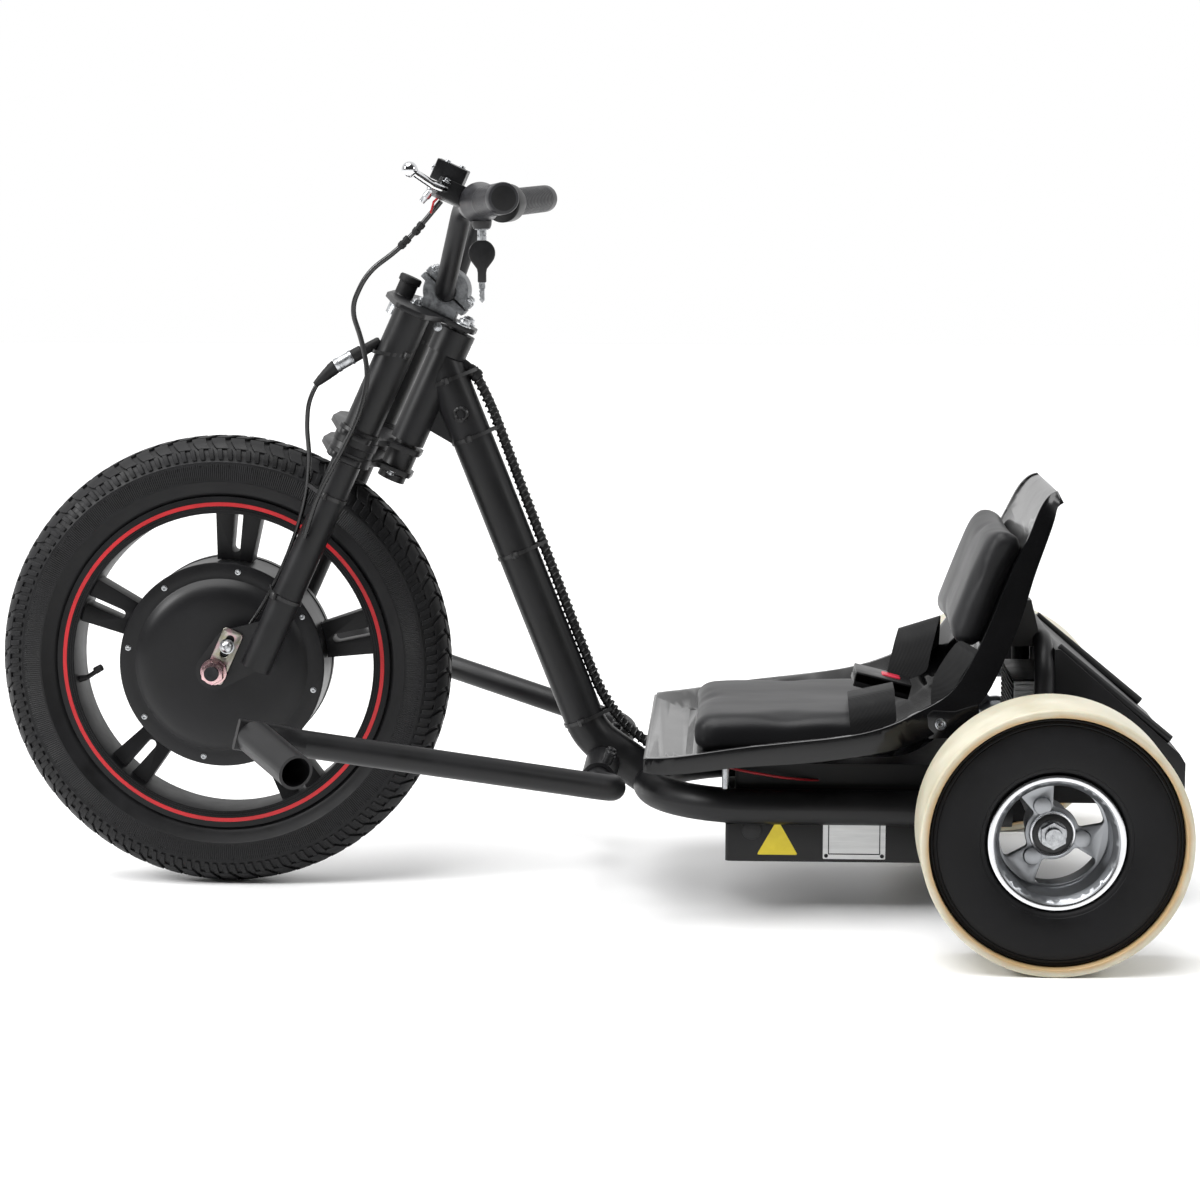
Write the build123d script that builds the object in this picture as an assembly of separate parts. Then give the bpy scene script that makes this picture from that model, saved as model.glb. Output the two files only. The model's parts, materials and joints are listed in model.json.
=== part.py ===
from build123d import *
import math
import os

# An electric drift tricycle in millimetres: +X forward, +Y to the rider's left, +Z up.
# The origin lies on the ground, in the middle of the length, on the centre plane.

# ---------------------------------------------------------------- overall layout
wheelbase = 888.0
rear_overhang = 162.0  # rear axle to the back of the rear cover
rake = 24.5  # degrees that the steering axis leans back from vertical
fork_offset = 84.0  # front axle ahead of the steering axis
axle_to_head = 309.0  # along the steering axis, front axle to the foot of the head tube

# ---------------------------------------------------------------- front wheel
front_tyre_d = 505.0
front_tyre_w = 76.0
front_bead_d = 355.0
front_flange_d = 373.0
front_rim_w = 64.0
front_rim_bore_d = 336.0
spoke_pairs = 5
spoke_slot = 10.0
spoke_hub_w = 14.0  # one rib of a pair, at the hub
spoke_rim_w = 21.0  # the same rib, at the rim
spoke_depth = 30.0
motor_shell_d = 229.0
motor_shell_w = 84.0
motor_cover_d = 194.0
motor_cover_rise = 11.0
front_axle_d = 16.0
front_axle_l = 212.0

# ---------------------------------------------------------------- rear wheels
rear_half_width = 379.0  # centre plane to the outer face of a sleeve
sleeve_d = 270.0
sleeve_wall = 8.5
sleeve_w = 96.0
rear_flange_d = 136.0
rear_bead_d = 127.0
rear_rim_w = 84.0
rear_barrel_bore_d = 112.0
rear_web_depth = 46.0  # outer lip of the rim down to the web
rear_web_t = 9.0
rear_hub_d = 46.0
rear_hub_depth = 42.0  # outer lip of the rim down to the face of the hub
rear_hub_l = 62.0
rear_boss_d = 18.0
rear_boss_pcd = 60.0
spindle_d = 17.0
axle_beam_d = 30.0
spindle_end = 18.0  # spindle past the hub's face

# ---------------------------------------------------------------- steering
head_tube_d = 38.0
head_tube_l = 134.0
head_ring_d = 44.0
head_ring_l = 28.0
stem_d = 25.4
leg_offset = 45.0  # fork legs ahead of the steering axis
leg_spread = 80.0  # centre plane to each fork leg
lower_leg_d = 33.0
sleeve_leg_d = 39.5
leg_over_head = 4.0  # top of the legs above the top of the head tube
leg_sleeve_foot = -12.0  # heights along the steering axis, from the foot of the head tube
leg_foot = -288.0
crown_plate_t = 6.0
lower_crown_top = -4.0
lower_crown_gap = 20.0
collar_d = 47.0
dropout_t = 8.0
dropout_r = 21.0
axle_nut_af = 24.0
axle_nut_t = 13.0
torque_plate_w = 23.0
torque_plate_l = 62.0
torque_plate_t = 3.5
torque_slot_w = 9.0
bar_d = 22.2
bar_ahead = 27.0  # clamped middle of the handlebar, ahead of the steering axis
bar_over_legs = 32.0  # middle of the bar above the top of the legs
bar_rise = 95.0  # middle of the bar up to its shoulders
bar_clamp_w = 44.0
bar_half_width = 300.0
grip_l = 118.0
grip_d = 32.0
grip_flange_d = 43.0

# ---------------------------------------------------------------- frame
down_tube_d = 45.0
rail_d = 38.0
rail_spread = 130.0  # centre plane to each main rail
rail_height = 117.0
rail_front = 475.0  # front of the rails, behind the front axle
rail_bend = 125.0
cross_sleeve_d = 38.0
cross_sleeve_half = 112.0
cross_ahead = 53.0  # cross sleeve ahead of the rails' front
cross_height = 141.0
arm_d = 28.0
arm_tip_behind = 88.0
arm_tip_spread = 352.0
arm_tip_height = 231.0
peg_d = 36.0
peg_wall = 3.0
peg_l = 95.0
hoop_d = 21.0
hoop_top = 296.0
hoop_lug_l = 50.0  # upright length of the seat's lugs on the hoop
hoop_back = 10.0  # hoop behind the rear axle
battery_gap = 85.0  # front of the rails back to the battery
battery_ahead = 38.0  # back of the battery ahead of the rear axle
battery_bottom = 57.0
battery_top = 160.0

# ---------------------------------------------------------------- seat
seat_reach = 414.0  # front lip of the seat ahead of the rear axle
shell_t = 4.0
pad_half_width = 132.0
pad_l = 224.0
pad_t = 36.0
pad_slope = 0.0205  # rise of the base cushion per millimetre towards the back
back_pad_t = 33.0
back_pad_half_width = 127.0
web_w = 50.0  # belt webbing
web_t = 3.0

# ---------------------------------------------------------------- clearances
seat_gap = 0.3  # between pieces that rest on each other
running = 0.06  # radial play of a shaft in its bearing

front_axle_x = (wheelbase + rear_overhang - front_tyre_d / 2) / 2
front_axle_z = front_tyre_d / 2
rear_axle_x = front_axle_x - wheelbase
rear_axle_z = sleeve_d / 2
leg_top = head_tube_l + leg_over_head
bar_up = leg_top + bar_over_legs
cross_behind = rail_front - cross_ahead
hoop_behind = wheelbase + hoop_back
battery_front = rail_front + battery_gap
battery_back = wheelbase - battery_ahead
seat_front = wheelbase - seat_reach


def at(behind, side, height):
    """A point by its distance behind the front axle, its side and its height."""
    return Vector(front_axle_x - behind, side, height)


lean = math.radians(rake)
steer_up = Vector(-math.sin(lean), 0, math.cos(lean))
steer_ahead = Vector(math.cos(lean), 0, math.sin(lean))
head_foot = Vector(front_axle_x, 0, front_axle_z) - steer_ahead * fork_offset + steer_up * axle_to_head
steer = Plane(origin=head_foot, x_dir=steer_ahead, z_dir=steer_up)
spin = Plane(origin=(front_axle_x, 0, front_axle_z), x_dir=(1, 0, 0), z_dir=(0, 1, 0))


def steered(ahead, side, up):
    """A point in the steering's own axes: ahead of the axis, to the left, up along it."""
    return head_foot + steer_ahead * ahead + Vector(0, side, 0) + steer_up * up


def rod(start, end, diameter, bore=0.0):
    """A straight bar between two points, or a tube where it has a bore."""
    start = Vector(start)
    end = Vector(end)
    section = Circle(diameter / 2)
    if bore:
        section -= Circle(bore / 2)
    return extrude(Plane(origin=start, z_dir=end - start) * section, (end - start).length)


def bent_tube(points, radii, diameter):
    """A bar bent at each inner point to its own radius."""
    path = FilletPolyline(*points, radius=radii)
    return sweep(Plane(origin=path @ 0, z_dir=path % 0) * Circle(diameter / 2), path=path)


def slab(plane, outline, thickness, radius=0.0):
    """A flat plate centred on a plane, with its corners rounded."""
    face = make_face(Polyline(*outline, close=True))
    if radius:
        face = fillet(face.vertices(), radius)
    return extrude(plane * face, thickness / 2, both=True)


def turned(points, plane=Plane.XZ):
    """A body of revolution about Z, from (radius, height) points of its half section."""
    return revolve(plane * make_face(Polyline(*points, close=True)), Axis.Z)


def hexagon_nut(af, thickness, bore):
    """A hexagon nut standing on the XY plane."""
    nut = extrude(RegularPolygon(af / 2, 6, major_radius=False), thickness)
    return nut - Pos(0, 0, thickness / 2) * Cylinder(bore / 2, thickness * 2)


# ================================================================ front wheel
def front_tyre():
    bead = front_bead_d / 2
    rim_edge = front_flange_d / 2 + seat_gap
    tread = front_tyre_d / 2
    half = front_tyre_w / 2
    foot = front_rim_w / 2 - 6
    heel = Polyline((rim_edge, -foot), (bead, -foot), (bead, foot), (rim_edge, foot))
    wall = Spline((rim_edge, foot), (rim_edge + 5, half - 3), (rim_edge + 24, half), (tread - 17, half - 4))
    crown = ThreePointArc((tread - 17, half - 4), (tread, 0), (tread - 17, 4 - half))
    other = Spline((tread - 17, 4 - half), (rim_edge + 24, -half), (rim_edge + 5, 3 - half), (rim_edge, -foot))
    section = make_face([*heel.edges(), wall, crown, other])
    return spin * revolve(Plane.XZ * section, Axis.Z)


def front_rim_ring():
    flange = front_flange_d / 2
    bead = front_bead_d / 2 - seat_gap
    bore = front_rim_bore_d / 2
    half = front_rim_w / 2
    points = [(bore, -half), (flange, -half), (flange, -half + 4), (bead, -half + 5), (bead, -half + 14)]
    points += [(bore + 5, -half + 20), (bore + 5, half - 20), (bead, half - 14), (bead, half - 5)]
    points += [(flange, half - 4), (flange, half), (bore, half)]
    return turned(points)


def spoke_pair():
    hub = motor_shell_d / 2 - 3
    rim = front_rim_bore_d / 2 + 2
    inner = spoke_slot / 2 + spoke_hub_w
    outer = spoke_slot / 2 + spoke_rim_w
    web = make_face(Polyline((hub, -inner), (rim, -outer), (rim, outer), (hub, inner), close=True))
    slot = Pos((hub + rim) / 2 + 6, 0) * SlotOverall(rim - hub - 12, spoke_slot)
    return extrude(web - slot, spoke_depth / 2, both=True)


def front_rim():
    rim = front_rim_ring()
    for k in range(spoke_pairs):
        rim += Rot(0, 0, 120 + k * 360 / spoke_pairs) * spoke_pair()
    shell = Cylinder(motor_shell_d / 2 + seat_gap, motor_shell_w)
    return spin * (rim - shell)


def hub_motor():
    half = motor_shell_w / 2
    shell = motor_shell_d / 2
    cover = motor_cover_d / 2
    face = half + motor_cover_rise
    bore = front_axle_d / 2 + running
    points = [(bore, -face), (cover - 9, -face), (cover, -face + 7), (cover + 1, -half), (shell, -half)]
    points += [(shell, half), (cover + 1, half), (cover, face - 7), (cover - 9, face), (bore, face)]
    return spin * turned(points)


# ================================================================ steering
def side_plane(side):
    """Plane across the machine at a fork leg, its x axis ahead and its y axis up the steering axis."""
    return Plane(origin=head_foot + Vector(0, side, 0), x_dir=steer_ahead, z_dir=(0, -1, 0))


def front_axle():
    end = front_axle_l / 2
    return spin * Cylinder(front_axle_d / 2, end * 2)


def fork_leg(sign):
    side = sign * leg_spread
    lower = rod(steered(leg_offset, side, leg_foot), steered(leg_offset, side, leg_sleeve_foot), lower_leg_d)
    upper = rod(steered(leg_offset, side, leg_sleeve_foot), steered(leg_offset, side, leg_top), sleeve_leg_d)
    toward_axle = side_plane(side)
    eye = Pos(fork_offset, -axle_to_head) * Circle(dropout_r)
    ear = Pos(fork_offset - 4, -axle_to_head + 32) * Circle(dropout_r - 3)
    root = Pos(leg_offset, -axle_to_head + 50) * Rectangle(8, 60)
    dropout = extrude(toward_axle * make_hull((eye + ear + root).edges()), dropout_t / 2, both=True)
    dropout -= spin * Cylinder(front_axle_d / 2 + seat_gap, front_axle_l)
    return lower + upper + dropout


def leg_pair(diameter):
    """Cutters along both fork legs."""
    left = rod(steered(leg_offset, leg_spread, leg_foot), steered(leg_offset, leg_spread, leg_top + 40), diameter)
    return left + mirror(left, Plane.XZ)


def crown_outline():
    """Plan of a crown plate: wide across the legs, narrow at the steering axis."""
    wide = leg_spread + 27
    left = [(-20, 20), (16, 34), (30, wide), (62, wide), (84, 30)]
    return left + [(ahead, -side) for ahead, side in reversed(left)]


def upper_crown():
    plane = steer.offset(leg_top + crown_plate_t / 2)
    plate = slab(plane, crown_outline(), crown_plate_t, 9)
    return plate - rod(steered(0, 0, leg_top - 5), steered(0, 0, leg_top + 20), stem_d + 2 * seat_gap)


def lower_crown():
    upper = slab(steer.offset(lower_crown_top - crown_plate_t / 2), crown_outline(), crown_plate_t, 9)
    drop = crown_plate_t + lower_crown_gap
    lower = slab(steer.offset(lower_crown_top - crown_plate_t / 2 - drop), crown_outline(), crown_plate_t, 9)
    core = rod(steered(0, 0, lower_crown_top - drop), steered(0, 0, lower_crown_top - crown_plate_t), 34)
    crown = upper + lower + core
    for sign in (-1, 1):
        for height in (lower_crown_top - 3, lower_crown_top - 21):
            ring = rod(steered(leg_offset, sign * leg_spread, height - 7),
                       steered(leg_offset, sign * leg_spread, height + 7), collar_d)
            crown += ring
    crown -= leg_pair(sleeve_leg_d + 2 * seat_gap)
    return crown - rod(steered(0, 0, -60), steered(0, 0, 20), stem_d + 2 * seat_gap)


def stem():
    bottom = lower_crown_top - 2 * crown_plate_t - lower_crown_gap - 3
    shaft = rod(steered(0, 0, bottom), steered(0, 0, leg_top + crown_plate_t), stem_d)
    head = rod(steered(0, 0, bottom - 7), steered(0, 0, bottom), stem_d + 6)
    return shaft + head


def handlebar_points(sign):
    middle = steered(bar_ahead, sign * 34, bar_up)
    shoulder = steered(bar_ahead + 13, sign * 100, bar_up + bar_rise)
    end = steered(bar_ahead - 37, sign * bar_half_width, bar_up + bar_rise + 32)
    return middle, shoulder, end


def handlebar():
    left_middle, left_shoulder, left_end = handlebar_points(1)
    right_middle, right_shoulder, right_end = handlebar_points(-1)
    points = [left_end, left_shoulder, left_middle, right_middle, right_shoulder, right_end]
    return bent_tube(points, [34, 26, 26, 34], bar_d)


def bar_clamp():
    """Cast cradle in two halves round the middle of the bar, standing on the upper crown."""
    top = leg_top + crown_plate_t + seat_gap
    plane = Plane(origin=head_foot, x_dir=steer_ahead, z_dir=(0, -1, 0))
    ring = Pos(bar_ahead, bar_up) * Circle(25)
    foot = Pos(bar_ahead, (top + bar_up) / 2) * Rectangle(40, bar_up - top)
    lug = Pos(bar_ahead, bar_up) * Rot(0, 0, 20) * Rectangle(62, 15)
    bore = Pos(bar_ahead, bar_up) * Circle(bar_d / 2 + seat_gap)
    gap = Pos(bar_ahead, bar_up) * Rot(0, 0, 20) * Rectangle(70, 2)
    below = Pos(bar_ahead, top - 20) * Rectangle(80, 40)
    section = ring + foot + lug - bore - gap - below
    return extrude(plane * section, bar_clamp_w / 2, both=True)


def along_grip(sign, start, end, diameter, bore):
    """A sleeve on one bar end, between two distances from the tip."""
    middle, shoulder, tip = handlebar_points(sign)
    inward = (shoulder - tip).normalized()
    return rod(tip + inward * start, tip + inward * end, diameter, bore)


def grip(sign):
    bore = bar_d + 2 * seat_gap
    body = along_grip(sign, -4, grip_l, grip_d, bore) + along_grip(sign, -4, -1, grip_d, 0)
    middle, shoulder, tip = handlebar_points(sign)
    inward = (shoulder - tip).normalized()
    if sign > 0:
        root = Plane(origin=tip + inward * (grip_l - 34), z_dir=inward)
        taper = loft([root * Circle(grip_d / 2), root.offset(28) * Circle(grip_flange_d / 2)])
        flange = along_grip(sign, grip_l - 6, grip_l, grip_flange_d, 0)
        body += taper + flange
        body -= rod(tip, tip + inward * (grip_l + 5), bore)
    return body


def throttle_housing():
    bore = bar_d + 2 * seat_gap
    return along_grip(-1, grip_l + seat_gap, grip_l + 24, 44, bore)


def lever_frame(sign, distance):
    """Axes at a distance in from the bar's tip: z inward along the bar, x ahead."""
    middle, shoulder, tip = handlebar_points(sign)
    inward = (shoulder - tip).normalized()
    across = steer_up.cross(inward)
    if across.dot(steer_ahead) < 0:
        across = across * -1
    return Plane(origin=tip + inward * distance, x_dir=across, z_dir=inward)


def brake_perch():
    frame = lever_frame(1, grip_l + 4)
    ring = Circle(17) - Circle(bar_d / 2 + seat_gap)
    arm = Pos(28, 0) * Rectangle(34, 20) - Circle(bar_d / 2 + seat_gap)
    block = Plane(origin=steered(60, 166, bar_up + 122), x_dir=steer_ahead, z_dir=steer_up) * Box(34, 30, 22)
    return extrude(frame * (ring + arm), 30) + block


def brake_lever():
    """Blade from the perch's pivot, flaring ahead of the grip to a ball end."""
    points = [steered(57, 190, bar_up + 107), steered(70, 214, bar_up + 107), steered(90, 262, bar_up + 113)]
    return bent_tube(points, [40], 9) + Pos(*points[2]) * Sphere(8) - brake_perch()


def lock_seat():
    """Middle of the bar inside the left grip's flange, where the key lock is set."""
    middle, shoulder, tip = handlebar_points(1)
    return tip + (shoulder - tip).normalized() * (grip_l - 10)


def key_lock():
    """Barrel standing down from the flange of the left grip."""
    seat_point = lock_seat()
    return rod(seat_point - Vector(1.5, 0, 38), seat_point - Vector(0, 0, 18.5), 15) - grip(1) - handlebar()


def ignition_key():
    """Key in the lock, its round head under the barrel and its blank end below the head."""
    bow = lock_seat() - Vector(0, 0, 51.5)
    plane = Plane(origin=bow, x_dir=(1, 0, 0), z_dir=(0, -1, 0))
    head = extrude(plane * (Circle(13) - Pos(0, 8) * Circle(2.5)), 2, both=True)
    blade = extrude(plane * Pos(0, -30) * Rectangle(8, 38), 1.2, both=True)
    return head + blade


def crown_stud():
    return rod(steered(69, 0, leg_top - 17), steered(69, 0, leg_top + 28), 21)


def axle_nut(sign):
    """Nut on the end of the front axle, outside the torque plate."""
    seat = leg_spread + dropout_t / 2 + torque_plate_t + 2 * seat_gap
    plane = Plane(origin=(front_axle_x, sign * seat, front_axle_z), z_dir=(0, sign, 0))
    return plane * hexagon_nut(axle_nut_af, axle_nut_t, front_axle_d + 2 * seat_gap)


def torque_plate(sign):
    """Slotted plate along the dropout, its lower end over the axle."""
    seat = leg_spread + dropout_t / 2 + seat_gap + torque_plate_t / 2
    plane = side_plane(sign * seat)
    reach = torque_plate_l / 2 - torque_plate_w / 2
    centre = Pos(fork_offset - 2, reach - axle_to_head)
    face = centre * Rot(0, 0, 90) * RectangleRounded(torque_plate_l, torque_plate_w, 4)
    face -= centre * Pos(0, 12) * Rot(0, 0, 90) * SlotOverall(26, torque_slot_w)
    plate = extrude(plane * face, torque_plate_t / 2, both=True)
    return plate - spin * Cylinder(front_axle_d / 2 + seat_gap, front_axle_l)


# ================================================================ frame
down_tube_points = [at(240, 0, 596), at(rail_front - 67, 0, 170), at(rail_front + 3, 0, rail_height + 2.9)]


def head_tube_solid():
    tube = rod(steered(0, 0, 0), steered(0, 0, head_tube_l), head_tube_d)
    return tube + rod(steered(0, 0, head_tube_l - head_ring_l), steered(0, 0, head_tube_l), head_ring_d)


def head_tube():
    return head_tube_solid() - rod(steered(0, 0, -5), steered(0, 0, head_tube_l + 5), stem_d + 2 * running)


def rails():
    back = wheelbase - 22
    points = [at(back, rail_spread, rail_height), at(rail_front, rail_spread, rail_height)]
    points += [at(rail_front, -rail_spread, rail_height), at(back, -rail_spread, rail_height)]
    return bent_tube(points, [rail_bend, rail_bend], rail_d)


def cross_sleeve_line(diameter, half=cross_sleeve_half):
    return rod(at(cross_behind, -half, cross_height), at(cross_behind, half, cross_height), diameter)


def down_tube():
    """Main tube from the head to the rails, with the gusset under the head tube."""
    tube = bent_tube(down_tube_points, [70], down_tube_d)
    gusset = make_face(Polyline(steered(-10, 0, 22), steered(-10, 0, 100), at(300, 0, 470), close=True))
    tube += extrude(gusset, 4, dir=(0, 1, 0), both=True)
    ahead = steer * Pos(47, 0, 60) * Box(100, 100, 400)
    return tube - ahead - head_tube_solid() - rails() - cross_sleeve_line(cross_sleeve_d)


def cross_sleeve():
    sleeve = cross_sleeve_line(cross_sleeve_d) - cross_sleeve_line(arm_d + 2 * seat_gap, 200)
    for side in (-98, -74, 74, 98):
        sleeve += rod(at(cross_behind + 8, side, cross_height + 15), at(cross_behind + 12, side, cross_height + 24), 11)
    return sleeve - rails() - cross_sleeve_line(arm_d + 2 * seat_gap, 200)


def arm_tip(sign):
    return at(arm_tip_behind, sign * arm_tip_spread, arm_tip_height)


peg_reach = Vector(-0.55, 0.80, -0.20).normalized()


def peg_axis(sign):
    return Vector(peg_reach.X, sign * peg_reach.Y, peg_reach.Z)


def arm_elbow(sign):
    return at(cross_behind + 32, sign * (cross_sleeve_half + 64), cross_height + 2)


def foot_arm(sign):
    """Bent arm from the cross sleeve out past the wheel, its front end pressed flat."""
    tip = arm_tip(sign)
    elbow = arm_elbow(sign)
    inner = at(cross_behind, sign * (cross_sleeve_half + 17), cross_height)
    root = at(cross_behind, sign * 40, cross_height)
    back = (elbow - tip).normalized()
    flat_normal = peg_axis(sign)
    flat_end = tip + back * 22
    round_start = tip + back * 52
    arm = bent_tube([root, inner, elbow, round_start], [36, 30], arm_d)
    across = back.cross(flat_normal).normalized()
    facing = across.cross(back).normalized()
    round_face = Plane(origin=round_start, x_dir=facing, z_dir=back * -1) * Circle(arm_d / 2)
    flat_plane = Plane(origin=flat_end, x_dir=facing, z_dir=back * -1)
    flat_face = flat_plane * RectangleRounded(8, 32, 3)
    press = loft([round_face, flat_face])
    return arm + press + extrude(flat_face, 40)


def foot_peg(sign):
    """Open tube standing out from the flattened end of an arm."""
    direction = peg_axis(sign)
    start = arm_tip(sign)
    end = start + direction * (peg_l + 4)
    peg = rod(start, end, peg_d, peg_d - 2 * peg_wall) + rod(start, start + direction * 9, peg_d)
    along = (arm_elbow(sign) - start).normalized()
    return peg - Plane(origin=start, x_dir=along, z_dir=along.cross(direction)) * Box(90, 8 + 2 * seat_gap, 90)


def battery_box():
    """Case slung under the rails, with its upper part between them."""
    top = rail_height - rail_d / 2 - seat_gap
    length = battery_back - battery_front
    middle = (battery_back + battery_front) / 2
    low = Pos(*at(middle, 0, (top + battery_bottom) / 2)) * Box(length, 2 * rail_spread, top - battery_bottom)
    narrow = 2 * (rail_spread - rail_d / 2) - 8
    high = Pos(*at(middle + 5, 0, (top + battery_top) / 2)) * Box(length - 10, narrow, battery_top - top)
    box = low + high
    return fillet(box.edges().filter_by(Axis.Z), 5)


def rear_axle():
    """Beam across the back with a turned spindle at each end."""
    hub_face = rear_half_width - 8 - rear_hub_depth
    beam_end = hub_face - rear_hub_l - 5
    beam = rod(at(wheelbase, -beam_end, rear_axle_z), at(wheelbase, beam_end, rear_axle_z), axle_beam_d)
    tip = hub_face + spindle_end
    return beam + rod(at(wheelbase, -tip, rear_axle_z), at(wheelbase, tip, rear_axle_z), spindle_d)


def rear_nut(sign):
    hub_face = rear_half_width - 8 - rear_hub_depth
    plane = Plane(origin=at(wheelbase, sign * (hub_face + 1), rear_axle_z), z_dir=(0, sign, 0))
    return plane * hexagon_nut(24, 11, spindle_d + 2 * seat_gap)


def main_rails():
    """The bent rail with a plate at each end that carries the axle beam."""
    beam = rod(at(wheelbase, -250, rear_axle_z), at(wheelbase, 250, rear_axle_z), axle_beam_d)
    plate = Pos(*at(wheelbase - 3, rail_spread, rear_axle_z - 3)) * Box(38, 8, 54)
    return rails() + plate + mirror(plate, Plane.XZ) - beam


def hoop_line():
    foot = rear_axle_z + axle_beam_d / 2 - 5
    points = [at(hoop_behind, rail_spread, foot), at(hoop_behind, rail_spread, hoop_top)]
    return points + [at(hoop_behind, -rail_spread, hoop_top), at(hoop_behind, -rail_spread, foot)]


def rear_hoop():
    """Hoop standing on the axle beam behind the seat, with two lugs that hold the seat's back."""
    hoop = bent_tube(hoop_line(), [42, 42], hoop_d)
    beam = rod(at(wheelbase, -250, rear_axle_z), at(wheelbase, 250, rear_axle_z), axle_beam_d)
    low = hoop_top - 7
    high = low + hoop_lug_l
    lug = [seat(356, 0, low), seat(376.1, 0, high), at(hoop_behind - 12, 0, high)]
    lug += [at(hoop_behind, 0, low)]
    for side in (-88, 88):
        hoop += Pos(0, side, 0) * extrude(make_face(Polyline(*lug, close=True)), 11, dir=(0, 1, 0), both=True)
    return hoop - beam - main_rails() - seat_shell()


def rear_cover():
    """Sloping sheet box over the rear end, with a rod along each edge of its lid."""
    front = hoop_behind + hoop_d / 2 + seat_gap
    back = wheelbase + rear_overhang
    top = hoop_top - 6
    outline = [at(front, 0, top), at(front + 6, 0, top), at(back - 6, 0, 178)]
    outline += [at(back, 0, 168), at(back, 0, 124), at(front, 0, 124)]
    box = extrude(make_face(Polyline(*outline, close=True)), 128, dir=(0, 1, 0), both=True)
    for side in (-118, 118):
        box += rod(at(front + 5, side, top + 1), at(back - 16, side, 192), 10)
    return box


def controller():
    """Finned motor controller, hung on the hoop behind the seat."""
    front = hoop_behind + hoop_d / 2
    back = front - 38
    middle = hoop_top - 73
    body = Pos(*at((front + back) / 2, 0, middle)) * Box(front - back, 140, 50)
    for k in range(9):
        body -= Pos(*at(back + 6, 0, middle - 22 + k * 5.5)) * Box(14, 150, 2.5)
    return body


# ================================================================ seat
def seat(along, side, height):
    """A point by its distance behind the seat's front lip, its side and its height."""
    return at(seat_front + along, side, height)


# Sections across the shell, from the front lip to the curled top: distance behind the lip and
# height of the floor, half-widths of the floor and of the rim, rim above floor, depth of the skirt.
shell_stations = [
    (2, 181, 180, 203, 2, 15),
    (24, 177, 160, 210, 8, 18),
    (48, 174.9, 150, 211, 13, 19),
    (90, 175.7, 147, 212, 19, 20),
    (166, 177.3, 145, 214, 27, 23),
    (240, 178.8, 142, 214, 37, 24),
    (284, 184, 138, 210, 45, 27),
    (316, 207, 134, 204, 41, 30),
    (336, 243, 131, 193, 20, 32),
    (351.5, 284, 130, 174, 7, 30),
    (372.5, 336, 129, 158, 3, 28),
    (389, 377, 127, 146, 2, 24),
    (408, 416, 120, 134, 2, 20),
    (419, 440, 112, 122, 2, 18),
    (426, 450, 106, 114, 1.5, 16),
    (437, 456, 100, 106, 1, 14),
]


def shell_section(k):
    """One thin section: flat floor, sides sloping up to a level rim, and a skirt turned down outside."""
    along, height, floor, rim, rise, skirt = shell_stations[k]
    before = shell_stations[max(k - 1, 0)]
    after = shell_stations[min(k + 1, len(shell_stations) - 1)]
    forward = Vector(after[0] - before[0], 0, before[1] - after[1])
    plane = Plane(origin=seat(along, 0, height), x_dir=(0, 1, 0), z_dir=forward)
    half = [(floor, 0), (rim - 8, rise), (rim, rise), (rim, rise - skirt), (rim - shell_t, rise - skirt)]
    half += [(rim - shell_t, rise - shell_t), (floor + 1, -shell_t)]
    return plane * make_face(Polyline(*half, *[(-x, y) for x, y in reversed(half)], close=True))


def base_plane(lift=0.0):
    """Plane of the base cushion's underside, in the middle of its length."""
    middle = seat(159, 0, 177 + lift)
    return Plane(origin=middle, x_dir=(1, 0, -pad_slope), z_dir=(pad_slope, 0, 1))


def back_outline(shift=0.0):
    """Side view of the back cushion, which leans and curves with the shell."""
    rear = [seat(351.5 + shift, 0, 285), seat(372.5 + shift, 0, 337), seat(389 + shift, 0, 378), seat(405 + shift, 0, 412)]
    front = [point + Vector(back_pad_t - 2, 0, 9) for point in reversed(rear)]
    return make_face([Spline(*rear), Line(rear[-1], front[0]), Spline(*front), Line(front[-1], rear[0])])


def seat_shell():
    """Moulded bucket: a shallow dish that sweeps up into the back and curls over at the top."""
    shell = loft([shell_section(k) for k in range(len(shell_stations))])
    shell += Pos(*seat(1.6, 0, 174.8)) * Box(shell_t, 396, 13.4)
    shell -= base_plane() * Pos(0, 0, 30) * Box(pad_l + 8, 2 * pad_half_width + 4, 60)
    back_room = extrude(back_outline(seat_gap), back_pad_half_width + 0.5, dir=(0, 1, 0), both=True)
    return shell - back_room


def seat_pad():
    """Base cushion, lying on the floor of the shell."""
    pad = Box(pad_l, 2 * pad_half_width, pad_t)
    pad = fillet(pad.edges().filter_by(Axis.Z), 22)
    pad = fillet(pad.faces().sort_by(Axis.Z)[-1].edges(), 12)
    pad = fillet(pad.faces().sort_by(Axis.Z)[0].edges(), 4)
    return base_plane(seat_gap) * Pos(0, 0, pad_t / 2) * pad


def back_pad():
    pad = extrude(back_outline(), back_pad_half_width, dir=(0, 1, 0), both=True)
    return fillet(pad.edges(), 11)


def belt_buckle():
    """Push-button buckle, standing on the webbing in the middle of the base cushion."""
    return Pos(*seat(254, -6, 233.1)) * Rot(0, -14, 0) * Box(52, 66, 18)


def web_strip(*points):
    """Belt webbing swept along points that share one distance behind the seat's front, its width fore and aft."""
    path = Spline(*points)
    return sweep(Plane(origin=path @ 0, x_dir=(1, 0, 0), z_dir=path % 0) * Rectangle(web_w, web_t), path)


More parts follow.
